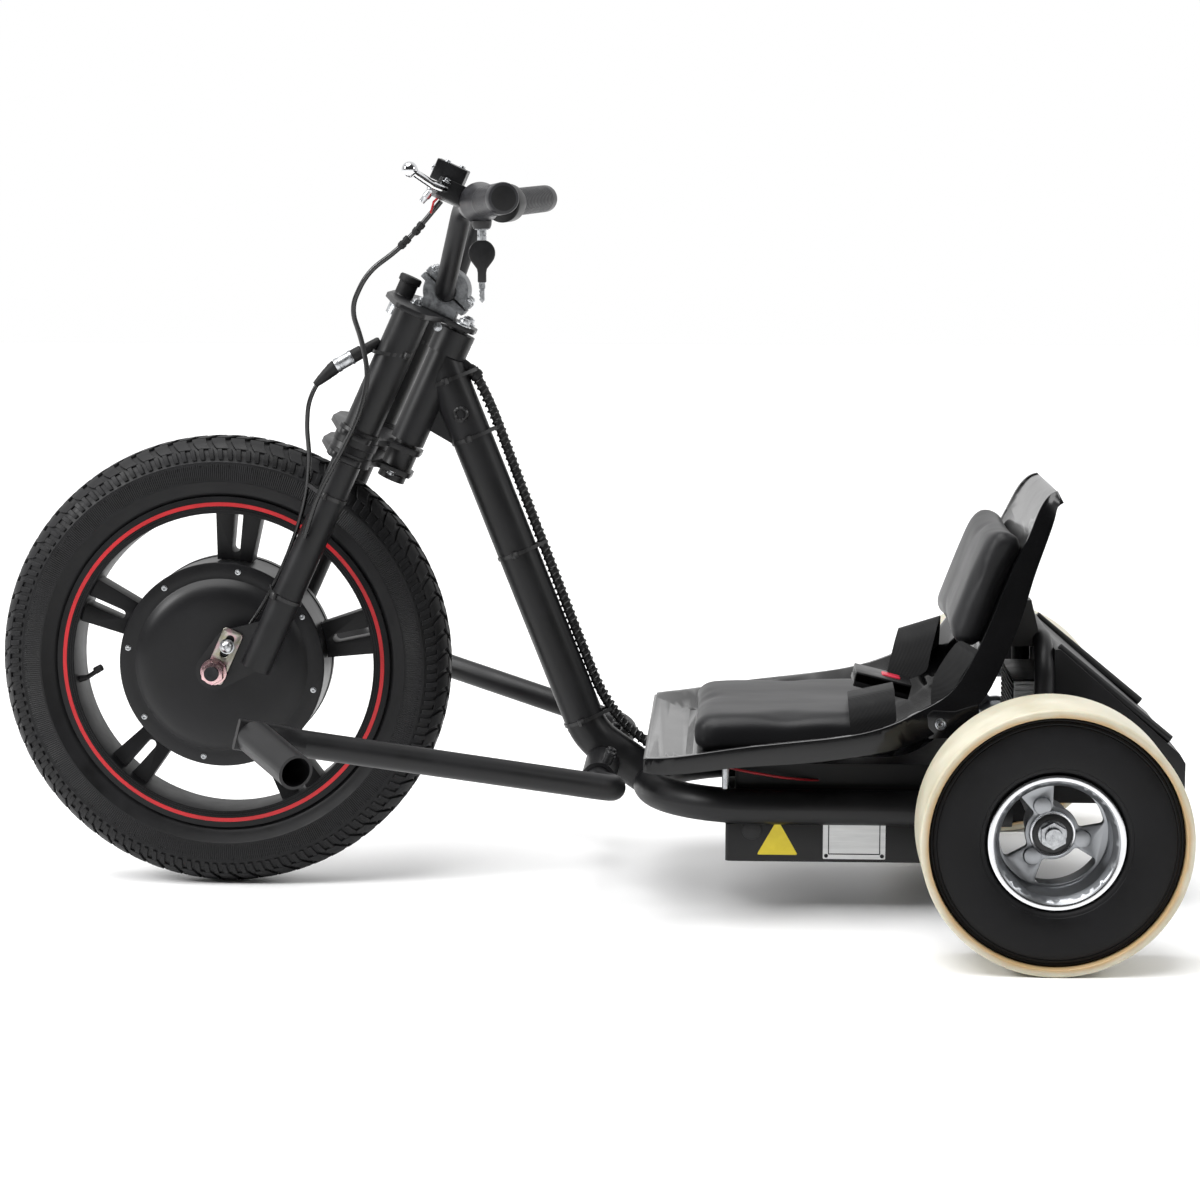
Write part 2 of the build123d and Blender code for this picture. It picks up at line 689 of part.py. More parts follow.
def lap_belt():
    """Webbing over the base cushion's left edge and under the buckle, and the loop to its right."""
    level = 217.5
    over = Pos(*seat(247, 50, level)) * Box(web_w, 171, web_t)
    hang = Pos(*seat(247, pad_half_width + 2, level - 15)) * Box(web_w, web_t, 33)
    loop = web_strip(seat(294, -40, 228), seat(294, -62, 268), seat(294, -84, 287), seat(294, -110, 268), seat(294, -140, 229))
    return over + hang + loop


def seat_studs():
    """A stud on each rail's bend that carries the front of the shell."""
    stud = rod(seat(86, rail_spread - 6, rail_height + rail_d / 2 - 3), seat(86, rail_spread - 6, 173.5), 8)
    return stud + mirror(stud, Plane.XZ) - rails() - seat_shell()


# ================================================================ rear wheels
def wheel_plane(sign):
    """Plane on the outer lip of a rear rim, z pointing out of the machine."""
    return Plane(origin=at(wheelbase, sign * (rear_half_width - 8), rear_axle_z), x_dir=(1, 0, 0), z_dir=(0, sign, 0))


def rear_rim(sign):
    flange = rear_flange_d / 2
    bead = rear_bead_d / 2
    bore = rear_barrel_bore_d / 2
    width = rear_rim_w
    points = [(bore, -width), (flange, -width), (flange, 4 - width), (bead, 6 - width), (bead, -6), (flange, -4)]
    points += [(flange, 0), (flange - 4, 0), (bore + 4, -3), (bore, -9)]
    rim = turned(points)
    web = Pos(0, 0, -rear_web_depth - rear_web_t / 2) * Cylinder(bore + 1, rear_web_t)
    for k in range(3):
        window = Rot(0, 0, 50 + 60 + 120 * k) * arc_band(rear_hub_d / 2 + 4, bore - 3, 78)
        web -= Pos(0, 0, -rear_web_depth - 30) * extrude(window, 60)
        boss = Rot(0, 0, 50 + 120 * k) * Pos(rear_boss_pcd / 2, 0, -rear_web_depth - 2)
        web += boss * Cylinder(rear_boss_d / 2, 14)
    hub = Pos(0, 0, -rear_hub_depth - rear_hub_l / 2) * Cylinder(rear_hub_d / 2, rear_hub_l)
    wheel = rim + web + hub
    wheel -= Cylinder(spindle_d / 2 + running, 400)
    return wheel_plane(sign) * wheel


def arc_band(inner, outer, angle):
    """Curved window between two radii, over an angle about the x axis."""
    start = math.radians(-angle / 2)
    end = math.radians(angle / 2)
    a = (inner * math.cos(start), inner * math.sin(start))
    b = (inner * math.cos(end), inner * math.sin(end))
    c = (outer * math.cos(end), outer * math.sin(end))
    d = (outer * math.cos(start), outer * math.sin(start))
    edges = [ThreePointArc(a, (inner, 0), b), Line(b, c), ThreePointArc(c, (outer, 0), d), Line(d, a)]
    return fillet(make_face(edges).vertices(), 4)


def rear_tyre(sign):
    bead = rear_bead_d / 2 + seat_gap
    edge = rear_flange_d / 2 + seat_gap
    tread = sleeve_d / 2 - sleeve_wall - seat_gap
    width = rear_rim_w
    heel = Polyline((edge, -7), (bead, -7), (bead, 7 - width), (edge, 7 - width))
    inner = Spline((edge, 7 - width), (edge + 8, -width - 4), (edge + 30, -width - 4), (tread - 8, -width - 2))
    crown = Polyline((tread - 8, -width - 2), (tread, -width + 4), (tread, -4), (tread - 8, 2))
    outer = Spline((tread - 8, 2), (edge + 30, 5), (edge + 8, 3), (edge, -7))
    section = make_face([*heel.edges(), inner, *crown.edges(), outer])
    return wheel_plane(sign) * revolve(Plane.XZ * section, Axis.Z)


def drift_sleeve(sign):
    outer = sleeve_d / 2
    inner = outer - sleeve_wall
    points = [(inner, 8 - sleeve_w), (outer - 2, 8 - sleeve_w), (outer, 10 - sleeve_w), (outer, 6)]
    points += [(outer - 2, 8), (inner, 8)]
    return wheel_plane(sign) * turned(points)


# ================================================================ cables
def cable(points, diameter):
    """A lead through its points, each bend as wide as its two runs allow."""
    radii = []
    for before, here, after in zip(points, points[1:], points[2:]):
        first = here - before
        second = after - here
        half_turn = math.radians(first.get_angle(second)) / 2
        radii.append(0.45 * min(first.length, second.length) / math.tan(half_turn))
    print("cable radii", [round(r, 1) for r in radii])
    return bent_tube(points, radii, diameter)


def wiring_loom():
    points = [at(278, 0, 579), at(298, 2, 541), at(328, -1, 457), at(364.5, 1, 361), at(391, 0, 290)]
    points += [at(rail_front - 46, 0, 194), at(rail_front + 26, 0, 139.5), at(battery_front + 9.7, 0, 139)]
    return cable(points, 10)


def control_cable():
    top = bar_up + 92
    points = [steered(60, 138, top), steered(70, 134, top - 34), steered(82, 128, top - 66)]
    points += [steered(103, 122, top - 102), steered(104, 116, top - 144), steered(80, 112, 92), steered(58, 111, 60)]
    points += [steered(50, 110.5, 20), steered(52, 110.3, -30), steered(57, 107, -80), steered(52, 99.6, -130)]
    return cable(points, 5.5)


def motor_lead():
    points = [steered(66, 79, 92), steered(79, 83, 76), steered(93, 86, 59), steered(108, 87, 27)]
    points += [steered(108, 87, 4), steered(99, 85, -22), steered(85, 80, -48), steered(73, 68, -85)]
    points += [steered(67, 60, -125)]
    points += [steered(64, 58, -170), steered(66, 59, -220), steered(74, 60, -265), steered(82, 63, -297)]
    return cable(points, 5)


def parts_list():
    both = {"left": 1, "right": -1}
    nodes = {"front_tyre": front_tyre(), "front_rim": front_rim(), "hub_motor": hub_motor()}
    nodes["front_axle"] = front_axle()
    for name, sign in both.items():
        nodes["fork_leg_" + name] = fork_leg(sign)
        nodes["grip_" + name] = grip(sign)
        nodes["rear_rim_" + name] = rear_rim(sign)
        nodes["rear_tyre_" + name] = rear_tyre(sign)
        nodes["drift_sleeve_" + name] = drift_sleeve(sign)
    nodes["axle_nuts"] = axle_nut(1) + axle_nut(-1)
    nodes["torque_plates"] = torque_plate(1) + torque_plate(-1)
    nodes["foot_arms"] = foot_arm(1) + foot_arm(-1)
    nodes["foot_pegs"] = foot_peg(1) + foot_peg(-1)
    nodes["upper_crown"] = upper_crown() + crown_stud()
    nodes["lower_crown"] = lower_crown()
    nodes["steering_stem"] = stem()
    nodes["handlebar"] = handlebar()
    nodes["bar_clamp"] = bar_clamp()
    nodes["throttle_housing"] = throttle_housing()
    nodes["brake_perch"] = brake_perch()
    nodes["brake_lever"] = brake_lever()
    nodes["key_lock"] = key_lock()
    nodes["ignition_key"] = ignition_key()
    nodes["steering_cables"] = control_cable() + motor_lead()
    nodes["head_tube"] = head_tube()
    nodes["down_tube"] = down_tube()
    nodes["main_rails"] = main_rails()
    nodes["cross_sleeve"] = cross_sleeve()
    nodes["battery_box"] = battery_box()
    nodes["rear_axle"] = rear_axle()
    nodes["rear_nuts"] = rear_nut(1) + rear_nut(-1)
    nodes["rear_hoop"] = rear_hoop()
    nodes["rear_cover"] = rear_cover()
    nodes["controller"] = controller()
    nodes["seat_shell"] = seat_shell()
    nodes["seat_pad"] = seat_pad()
    nodes["back_pad"] = back_pad()
    nodes["belt_buckle"] = belt_buckle()
    nodes["lap_belt"] = lap_belt()
    nodes["seat_studs"] = seat_studs()
    nodes["wiring_loom"] = wiring_loom()
    return nodes


os.makedirs("parts", exist_ok=True)
for name, shape in parts_list().items():
    export_step(shape, "parts/" + name + ".step")
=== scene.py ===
import json
import math
from contextlib import contextmanager
import bpy
from mathutils import Matrix, Vector


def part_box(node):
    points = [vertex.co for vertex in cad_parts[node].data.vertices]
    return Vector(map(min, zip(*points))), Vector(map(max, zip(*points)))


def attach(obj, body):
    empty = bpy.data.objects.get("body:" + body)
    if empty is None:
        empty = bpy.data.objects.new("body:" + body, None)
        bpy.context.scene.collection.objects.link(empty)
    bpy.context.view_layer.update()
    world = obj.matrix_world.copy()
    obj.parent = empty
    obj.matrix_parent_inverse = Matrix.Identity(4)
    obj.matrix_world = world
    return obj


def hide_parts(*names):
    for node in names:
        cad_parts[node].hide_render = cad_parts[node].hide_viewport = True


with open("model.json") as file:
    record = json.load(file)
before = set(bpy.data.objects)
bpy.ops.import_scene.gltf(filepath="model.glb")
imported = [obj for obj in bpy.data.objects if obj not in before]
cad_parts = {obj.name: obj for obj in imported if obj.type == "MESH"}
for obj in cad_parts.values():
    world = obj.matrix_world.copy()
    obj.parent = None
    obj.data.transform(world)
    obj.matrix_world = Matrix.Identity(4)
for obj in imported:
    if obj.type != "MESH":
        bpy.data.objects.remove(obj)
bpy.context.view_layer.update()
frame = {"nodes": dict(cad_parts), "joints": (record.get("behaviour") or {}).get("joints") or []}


def paint(code):
    """An sRGB hex colour as the linear colour that a socket takes."""
    channels = [int(code[k:k + 2], 16) / 255 for k in (1, 3, 5)]
    return (*[c / 12.92 if c <= 0.04045 else ((c + 0.055) / 1.055) ** 2.4 for c in channels], 1.0)


def add(tree, kind, sockets=(), **settings):
    """Adds a node, gives it its settings, and fills its sockets with values or links."""
    made = tree.nodes.new("ShaderNode" + kind)
    for name, value in settings.items():
        setattr(made, name, value)
    for name, value in dict(sockets).items():
        if isinstance(value, bpy.types.NodeSocket):
            tree.links.new(value, made.inputs[name])
        else:
            made.inputs[name].default_value = value
    return made


def start_finish(name, sockets):
    """A new material with the plain values of its shader set, its tree, and its shader."""
    made = bpy.data.materials.new(name)
    made.use_nodes = True
    shader = made.node_tree.nodes["Principled BSDF"]
    for socket, value in sockets.items():
        shader.inputs[socket].default_value = value
    return made, made.node_tree, shader


def mottle(tree, shader, dark, light, patch_mm, rough, grain_mm, depth_mm, stretch=(1, 1, 1)):
    """Slow drift of colour and shine over patches, and a fine grain that stands up from the surface."""
    place = add(tree, "TexCoord")
    spread = add(tree, "Mapping", {"Vector": place.outputs["Object"], "Scale": stretch})
    spot = spread.outputs["Vector"]
    drift = add(tree, "TexNoise", {"Vector": spot, "Scale": 1000 / patch_mm, "Detail": 5.0, "Roughness": 0.6})
    tone = add(tree, "ValToRGB", {"Fac": drift.outputs["Fac"]})
    tone.color_ramp.elements[0].position = 0.32
    tone.color_ramp.elements[0].color = paint(dark)
    tone.color_ramp.elements[1].position = 0.72
    tone.color_ramp.elements[1].color = paint(light)
    tree.links.new(tone.outputs["Color"], shader.inputs["Base Color"])
    shine = add(tree, "MapRange", {"Value": drift.outputs["Fac"], "From Min": 0.3, "From Max": 0.7,
                                   "To Min": rough[0], "To Max": rough[1]})
    tree.links.new(shine.outputs["Result"], shader.inputs["Roughness"])
    grain = add(tree, "TexNoise", {"Vector": spot, "Scale": 1000 / grain_mm, "Detail": 2.0})
    relief = add(tree, "Bump", {"Height": grain.outputs["Fac"], "Strength": 1.0, "Distance": depth_mm / 1000})
    tree.links.new(relief.outputs["Normal"], shader.inputs["Normal"])
    return spot, tone, relief


def finish(name, sockets, *look):
    """A material with plain values and a mottle, and nothing more."""
    made, tree, shader = start_finish(name, sockets)
    mottle(tree, shader, *look)
    return made


def dress(material, *nodes):
    """Gives CAD nodes a finish."""
    for name in nodes:
        for slot in frame["nodes"][name].material_slots:
            slot.material = material


# Orange peel is about 1 mm across on the real coat and is drawn at 3 mm, so that it shows.
powder_coat = finish("black_powder_coat_on_steel", {"IOR": 1.38},
                     "#0e0e0f", "#171719", 60, (0.36, 0.5), 3.0, 0.05)
dress(powder_coat, "head_tube", "down_tube", "main_rails", "cross_sleeve", "foot_arms", "foot_pegs",
      "rear_hoop", "fork_leg_left", "fork_leg_right", "steering_stem", "handlebar")

# -------------------- bolts
# Zinc-plated hexagon bolts with a rounded head, a washer and a little of the thread showing. One bolt and
# one socket screw are modelled standing on the ground plane, and those on the machine are copies of them.


def begun(name, primitive, **sizes):
    """A piece begun from one of Blender's primitives, with its place kept in its mesh."""
    bpy.ops.object.select_all(action="DESELECT")
    getattr(bpy.ops.mesh, "primitive_%s_add" % primitive)(**sizes)
    bpy.ops.object.transform_apply(location=True, rotation=True, scale=True)
    bpy.context.object.name = name
    return bpy.context.object


def placed(name, data):
    """A new object of a mesh or a curve, in the scene."""
    made = bpy.data.objects.new(name, data)
    bpy.context.scene.collection.objects.link(made)
    return made


def alone(piece):
    """Leaves one object selected and active, in object mode."""
    bpy.ops.object.select_all(action="DESELECT")
    piece.select_set(True)
    bpy.context.view_layer.objects.active = piece


def joined(name, pieces):
    """Joins objects into one piece."""
    alone(pieces[0])
    for piece in pieces[1:]:
        piece.select_set(True)
    if len(pieces) > 1:
        bpy.ops.object.join()
    made = bpy.context.object
    made.name = name
    made.data.name = name
    return made


@contextmanager
def editing(start="SELECT"):
    """Edit mode on the active piece, with all or nothing of it selected at the start."""
    bpy.ops.object.mode_set(mode="EDIT")
    if start:
        bpy.ops.mesh.select_all(action=start)
    yield
    bpy.ops.object.mode_set(mode="OBJECT")


def weld(gap_mm=0.01):
    """Merges the points of the piece in edit mode that lie closer than a gap."""
    bpy.ops.mesh.select_all(action="SELECT")
    bpy.ops.mesh.remove_doubles(threshold=gap_mm / 1000)


def face_out():
    """Turns every face of the piece in edit mode outwards."""
    bpy.ops.mesh.select_all(action="SELECT")
    bpy.ops.mesh.normals_make_consistent(inside=False)


def push(move):
    """Extrudes what is selected in edit mode."""
    bpy.ops.mesh.extrude_region_move(TRANSFORM_OT_translate={"value": move})


def pick_top(piece):
    """Selects the faces of a piece that look up."""
    for face in piece.data.polygons:
        face.select = face.normal.z > 0.9


def apply(piece, kind, **settings):
    """Gives the active piece a modifier with its settings, and applies it."""
    made = piece.modifiers.new(kind, kind)
    for name, value in settings.items():
        setattr(made, name, value)
    bpy.ops.object.modifier_apply(modifier=kind)


def rounded(piece, width_mm, segments=2, angle=32):
    """Rounds a piece's sharp edges."""
    alone(piece)
    apply(piece, "BEVEL", width=width_mm / 1000, segments=segments, limit_method="ANGLE",
          angle_limit=math.radians(angle))
    return piece


def settle(piece, material, body, stands_for=(), smooth=38):
    """Gives a finished piece its material, its smooth shading and the body that it moves with."""
    piece.data.materials.clear()
    piece.data.materials.append(material)
    alone(piece)
    bpy.ops.object.shade_smooth_by_angle(angle=math.radians(smooth))
    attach(piece, body)
    if stands_for:
        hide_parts(*stands_for)
    return piece


def drum(radius_mm, length_mm, foot=(0, 0, 0), sides=32):
    """A cylinder standing on a point."""
    return begun("drum", "cylinder", vertices=sides, radius=radius_mm / 1000, depth=length_mm / 1000,
                 location=(foot[0], foot[1], foot[2] + length_mm / 2000))


def stand(piece, seat, direction, size=1.0, turn=0.0):
    """Moves a piece that was made standing on the ground plane to its seat, and faces it the right way."""
    facing = Vector(direction).to_track_quat("Z", "Y").to_matrix().to_4x4() @ Matrix.Rotation(turn, 4, "Z")
    piece.data.transform(Matrix.Translation(seat) @ facing @ Matrix.Scale(size, 4))
    return piece


def stood(pattern, seat, direction, size=1.0, turn=0.0):
    """A copy of a pattern piece, with its own mesh, in its seat."""
    return stand(placed(pattern.name + "_copy", pattern.data.copy()), seat, direction, size, turn)


zinc_plate = finish("zinc_plated_steel", {"Metallic": 1.0}, "#8d8f92", "#c9cbcd", 6, (0.22, 0.42), 1.5, 0.02)
dress(zinc_plate, "rear_axle", "rear_nuts", "seat_studs")

washer = rounded(drum(8.6, 1.4, sides=36), 0.3)
hexagon = rounded(drum(6.4, 5.2, (0, 0, 0.0014), 6), 0.7)
thread = rounded(drum(3.6, 1.2, (0, 0, 0.0066), 20), 0.3)
bolt = joined("bolt", [washer, hexagon, thread])

# The screw has a round head with a socket, as on the motor's covers, the cross sleeve and the plates.
cap_head = drum(4.0, 3.2, sides=28)
socket_depth = 0.0018
with editing("DESELECT"):
    pass
pick_top(cap_head)
with editing(None):
    bpy.ops.mesh.inset(thickness=socket_depth)
    push((0, 0, -socket_depth))
socket_screw = joined("socket_screw", [rounded(cap_head, 0.4), rounded(drum(5.2, 0.9, sides=28), 0.2)])

to_left = Vector((0, 1, 0))
turn_joint = next(joint for joint in frame["joints"] if joint["name"] == "steering_turn")
steer_up = Vector(turn_joint["axis"])
steer_ahead = Vector((steer_up.z, 0, -steer_up.x))
half_head_tube = 0.067
head_foot = Vector(turn_joint["pos_m"]) - steer_up * half_head_tube


def on_fork(ahead, side, up):
    """A point in the steering's axes: millimetres ahead, to the left and up from the head tube's foot."""
    return head_foot + (steer_ahead * ahead + steer_up * up) / 1000 + Vector((0, side / 1000, 0))


# Four bolts hold the bar clamp and four close it. Two are under the lower crown, and one is in the upper
# crown's edge.
lug_lean = math.radians(20)
lug_up = steer_up * math.cos(lug_lean) - steer_ahead * math.sin(lug_lean)
lug_ahead = steer_ahead * math.cos(lug_lean) + steer_up * math.sin(lug_lean)
bar_middle = on_fork(27, 0, 170)
crown_bolts = []
for side in (-26, 26):
    crown_bolts.append(stood(bolt, on_fork(50, side * 1.15, 144), steer_up, 0.78))
    crown_bolts.append(stood(bolt, on_fork(-6, side, 144), steer_up, 1.05, 0.3))
    crown_bolts.append(stood(bolt, on_fork(1, side * 0.9, -34), -steer_up, 0.7, 0.2))
for side in (-14, 14):
    for reach in (-25, 25):
        seat = bar_middle + lug_ahead * reach / 1000 + lug_up * 0.0075 + Vector((0, side / 1000, 0))
        crown_bolts.append(stood(bolt, seat, lug_up, 0.72, reach))
crown_bolts.append(stood(bolt, on_fork(16, 58, 134), to_left, 0.55))
settle(joined("crown_bolts", crown_bolts), zinc_plate, "steering")

# -------------------- front tyre
# A moulded rubber scooter tyre: chevron blocks on the crown, claw-shaped lugs over the shoulders, small
# paired marks under them, and a finely ribbed wall. One pitch of blocks is set 72 times round.


def chain(name, points):
    """A line of edges from point to point: one vertex, extruded along."""
    made = begun(name, "plane", size=0.001, location=points[0])
    with editing():
        bpy.ops.mesh.merge(type="CENTER")
        for before, here in zip(points, points[1:]):
            push(Vector(here) - Vector(before))
    return made


def spun(name, outline, centre, axis, steps=96, closed=True):
    """A turned piece: its half section, in millimetres along and out from its axis, spun round."""
    axis = Vector(axis).normalized()
    out = axis.orthogonal().normalized()
    points = [Vector(centre) + (axis * along + out * radius) / 1000 for along, radius in outline]
    if closed:
        points.append(points[0])
    made = chain(name, points)
    with editing():
        bpy.ops.mesh.spin(steps=steps, angle=2 * math.pi, center=Vector(centre), axis=axis)
        weld(0.02)
        face_out()
    return made


low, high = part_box("front_tyre")
front_hub = (low + high) / 2
wall = [(0, 249.2), (9, 248.6), (18, 246.6), (26, 242.6), (31.5, 237.5), (35, 231.5), (36.6, 226.5),
        (37.6, 225.4), (38, 220), (38.1, 212), (37.2, 204.5), (37.4, 203.5), (36.6, 202.4), (34.6, 198),
        (31.8, 193.4), (31.4, 191.6), (29.8, 189.6), (28.2, 187.2), (26, 187), (26, 177.8)]
outline = wall + [(-across, out) for across, out in reversed(wall[1:])]
carcass = spun("front_tyre_carcass", outline, front_hub, to_left, 144)


def tread_block(stations, width, thick):
    """One block: a strip that follows the crown through its stations, widened round the tyre in degrees and
    thickened inwards. A station is millimetres across, millimetres out, and degrees round."""
    points = []
    for across, out, angle in stations:
        turn = math.radians(angle)
        points.append(front_hub + Vector((math.sin(turn) * out, across, math.cos(turn) * out)) / 1000)
    made = chain("tread_block", points)
    with editing():
        bpy.ops.mesh.spin(steps=2, angle=math.radians(width), center=front_hub, axis=to_left)
        weld()
        face_out()
    outward = sum((face.center - front_hub).dot(face.normal) for face in made.data.polygons) > 0
    apply(made, "SOLIDIFY", thickness=thick / 1000, offset=-1 if outward else 1)
    with editing():
        face_out()
    return made


pitches = 72
pitch = 360 / pitches
blocks = []
for side in (-1, 1):
    half = 0 if side > 0 else pitch / 2
    crown = [(2, 252.2, 0), (8, 251.8, 0.7), (13, 250.9, 1.6)]
    claw = [(15.5, 250.4, 2.6), (22, 247.8, 2.3), (28.5, 243.6, 1.5), (32, 240, 0.7)]
    marks = [(crown, 3.3, 4.5), (claw, 3.5, 4.5)]
    for leg in (0.5, 2.9):
        marks.append(([(32, 240, leg), (36, 234, leg - 0.3), (37.7, 228.4, leg - 0.5)], 1.3, 3.5))
    for tick in (0.6, 2.2):
        marks.append(([(37.9, 224, tick), (38.5, 219.5, tick + 0.1)], 0.5, 1.6))
    for stations, width, thick in marks:
        stations = [(side * across, out, half + angle) for across, out, angle in stations]
        blocks.append(tread_block(stations, width, thick))
tread = rounded(joined("front_tread", blocks), 0.5, 1, 40)
round_again = math.radians(360 - pitch)
with editing():
    bpy.ops.mesh.spin(steps=pitches - 1, dupli=True, angle=round_again, center=front_hub, axis=to_left)

rubber = finish("black_natural_rubber", {"IOR": 1.35}, "#0e0e0f", "#171718", 25, (0.5, 0.68), 2.0, 0.06)
dress(rubber, "wiring_loom")


def from_axle(tree, hub):
    """Each point's way from a wheel's hub, and how far it is from the axle, as sockets of a material."""
    place = add(tree, "TexCoord")
    way = add(tree, "VectorMath", {0: place.outputs["Object"], 1: hub}, operation="SUBTRACT")
    flat = add(tree, "VectorMath", {0: way.outputs["Vector"], 1: (1, 0, 1)}, operation="MULTIPLY")
    reach = add(tree, "VectorMath", {0: flat.outputs["Vector"]}, operation="LENGTH")
    return place.outputs["Object"], way.outputs["Vector"], reach.outputs["Value"]


def product(tree, first, second):
    """One value times another, as a socket."""
    return add(tree, "Math", {0: first, 1: second}, operation="MULTIPLY").outputs["Value"]


# The wall's ribs are radial cuts 1.2 mm apart on the real tyre and are drawn at 2.2 mm, so that they show.
ribs_round = 600
ribbed_rubber, tree, shader = start_finish("black_rubber_with_ribbed_wall", {"IOR": 1.32})
_, _, relief = mottle(tree, shader, "#0c0c0d", "#151517", 25, (0.42, 0.62), 2.0, 0.05)
_, way, reach = from_axle(tree, front_hub)
parts = add(tree, "SeparateXYZ", {"Vector": way})
bearing = add(tree, "Math", {0: parts.outputs["X"], 1: parts.outputs["Z"]}, operation="ARCTAN2")
wave = add(tree, "Math", {0: product(tree, bearing.outputs["Value"], ribs_round)}, operation="SINE")
inner = add(tree, "MapRange", {"Value": reach, "From Min": 0.204, "From Max": 0.206})
outer = add(tree, "MapRange", {"Value": reach, "From Min": 0.2235, "From Max": 0.2215})
band = product(tree, inner.outputs["Result"], outer.outputs["Result"])
cuts = add(tree, "Bump", {"Height": product(tree, wave.outputs["Value"], band), "Distance": 0.0003,
                          "Strength": 0.9, "Normal": relief.outputs["Normal"]})
tree.links.new(cuts.outputs["Normal"], shader.inputs["Normal"])
settle(joined("front_tyre_rubber", [carcass, tread]), ribbed_rubber, "front_wheel",
       ["front_tyre"], 34)

# -------------------- front rim
# A cast aluminium wheel with five pairs of spokes, painted semi-gloss black, with a red tape line 4 mm wide
# and three fine turned ridges round each face. A rubber valve with a cap stands between two pairs.


def fitted(name, node, width_mm, material, body, segments=2, angle=30, smooth=38):
    """A copy of a CAD node in its place, with its triangles merged, its edges rounded and its finish on."""
    made = placed(name, frame["nodes"][node].data.copy())
    alone(made)
    with editing():
        weld()
        bpy.ops.mesh.dissolve_limited(angle_limit=math.radians(0.6))
    return settle(rounded(made, width_mm, segments, angle), material, body, [node], smooth)


cast_paint = finish("semi_gloss_paint_on_cast_aluminium", {"IOR": 1.3},
                    "#0c0c0d", "#131315", 40, (0.42, 0.54), 2.5, 0.06)
fitted("front_rim_casting", "front_rim", 1.6, cast_paint, "front_wheel")

red_tape = finish("red_vinyl_tape", {"IOR": 1.5}, "#a3040f", "#b80f1b", 30, (0.34, 0.46), 2.0, 0.01)


def rim_rings(name, section):
    """A ring of one section round each face of the front rim."""
    return [spun(name, [(side * across, out) for across, out in section], front_hub, to_left, 144)
            for side in (-1, 1)]


tape = [(31.6, 175.6), (32.3, 176), (32.3, 180), (31.6, 180.4)]
settle(joined("rim_stripes", rim_rings("rim_stripe", tape)), red_tape, "front_wheel")
ridges = []
for out in (168.6, 171.2, 173.4):
    ridges += rim_rings("rim_ridge", [(31.8, out), (32.5, out + 0.3), (32.5, out + 0.8), (31.8, out + 1.1)])
settle(joined("rim_ridges", ridges), cast_paint, "front_wheel")


def rod_between(name, start, end, radius_mm, end_radius_mm, sides=24):
    """A round rod or cone between two points."""
    return begun(name, "cone", vertices=sides, radius1=radius_mm / 1000, radius2=end_radius_mm / 1000,
                 depth=(end - start).length, location=(start + end) / 2,
                 rotation=(end - start).to_track_quat("Z", "Y").to_euler())


valve_root = front_hub + Vector((0.1675, 0.012, -0.0225))
valve_bend = front_hub + Vector((0.158, 0.012, -0.0205))
valve_tip = front_hub + Vector((0.1475, 0.014, -0.0135))
stem = rod_between("valve_stem", valve_root, valve_bend, 4.2, 3.0)
neck = rod_between("valve_neck", valve_bend, valve_tip, 2.7, 2.7)
cap = rounded(rod_between("valve_cap", valve_tip - Vector((-0.001, 0, -0.0006)),
                          valve_tip + Vector((-0.0075, 0.001, 0.0055)), 4.2, 3.8), 0.8)
settle(joined("tyre_valve", [stem, neck, cap]), rubber, "front_wheel")

# -------------------- hub motor
# Turned aluminium shell with a pressed, domed cover on each side, both painted satin black.
# Eight small plated socket screws hold each cover round its edge.
motor_paint = finish("satin_black_enamel", {"IOR": 1.33}, "#0f0f10", "#171719", 90, (0.32, 0.42), 2.0, 0.02)
face = [(52.8, 8.2), (52.8, 24), (53.0, 26), (53, 60), (52.7, 72), (51.6, 80), (49.6, 86.5), (46.8, 91.4),
        (44, 94.6), (42.6, 96.4), (42.4, 98), (42.5, 101), (42.5, 112), (41.9, 113.6), (40.6, 114.4),
        (30, 114.4), (29, 113.4)]
outline = face + [(-across, out) for across, out in reversed(face)]
settle(spun("motor_shell", outline, front_hub, to_left, 128), motor_paint, "front_wheel",
       ["hub_motor"], 30)
screws = []
screw_reach, cover_face = 0.1057, 0.0424
for side in (-1, 1):
    for degrees in (79, 126, 170, 214, 258, 303, 345, 31):
        turn = math.radians(degrees)
        off = Vector((-math.cos(turn) * screw_reach, side * cover_face, math.sin(turn) * screw_reach))
        screws.append(stood(socket_screw, front_hub + off, (0, side, 0), 0.62))
settle(joined("motor_screws", screws), zinc_plate, "front_wheel")

# -------------------- front axle
# A black steel axle with washers and nuts over slotted torque plates, passivated yellow and pink.
# A plated cap nut holds each plate to the dropout through its slot.
passivated, tree, shader = start_finish("yellow_passivated_zinc", {"Metallic": 1.0})
_, tone, _ = mottle(tree, shader, "#8f8a72", "#a89a7c", 11, (0.26, 0.4), 1.5, 0.02)
tone.color_ramp.elements.new(0.5).color = paint("#97958c")
tone.color_ramp.elements.new(0.62).color = paint("#ad8f95")
pink_zinc = finish("pink_passivated_zinc", {"Metallic": 1.0}, "#b58d98", "#cdb3ad", 6, (0.2, 0.34), 1.5, 0.02)
oxide = finish("black_oxide_on_steel", {"Metallic": 0.6}, "#18181a", "#2a2a2c", 8, (0.35, 0.5), 1.5, 0.03)
dress(oxide, "front_axle")
fitted("torque_plate_pair", "torque_plates", 0.5, passivated, "steering")
ends, domes = [], []
cap = [(0, 8.2), (1.2, 8.2), (1.4, 7.0), (4, 6.6), (6.5, 4.9), (7.4, 2.4), (6.6, 1.8), (6.6, 0), (0, 0)]
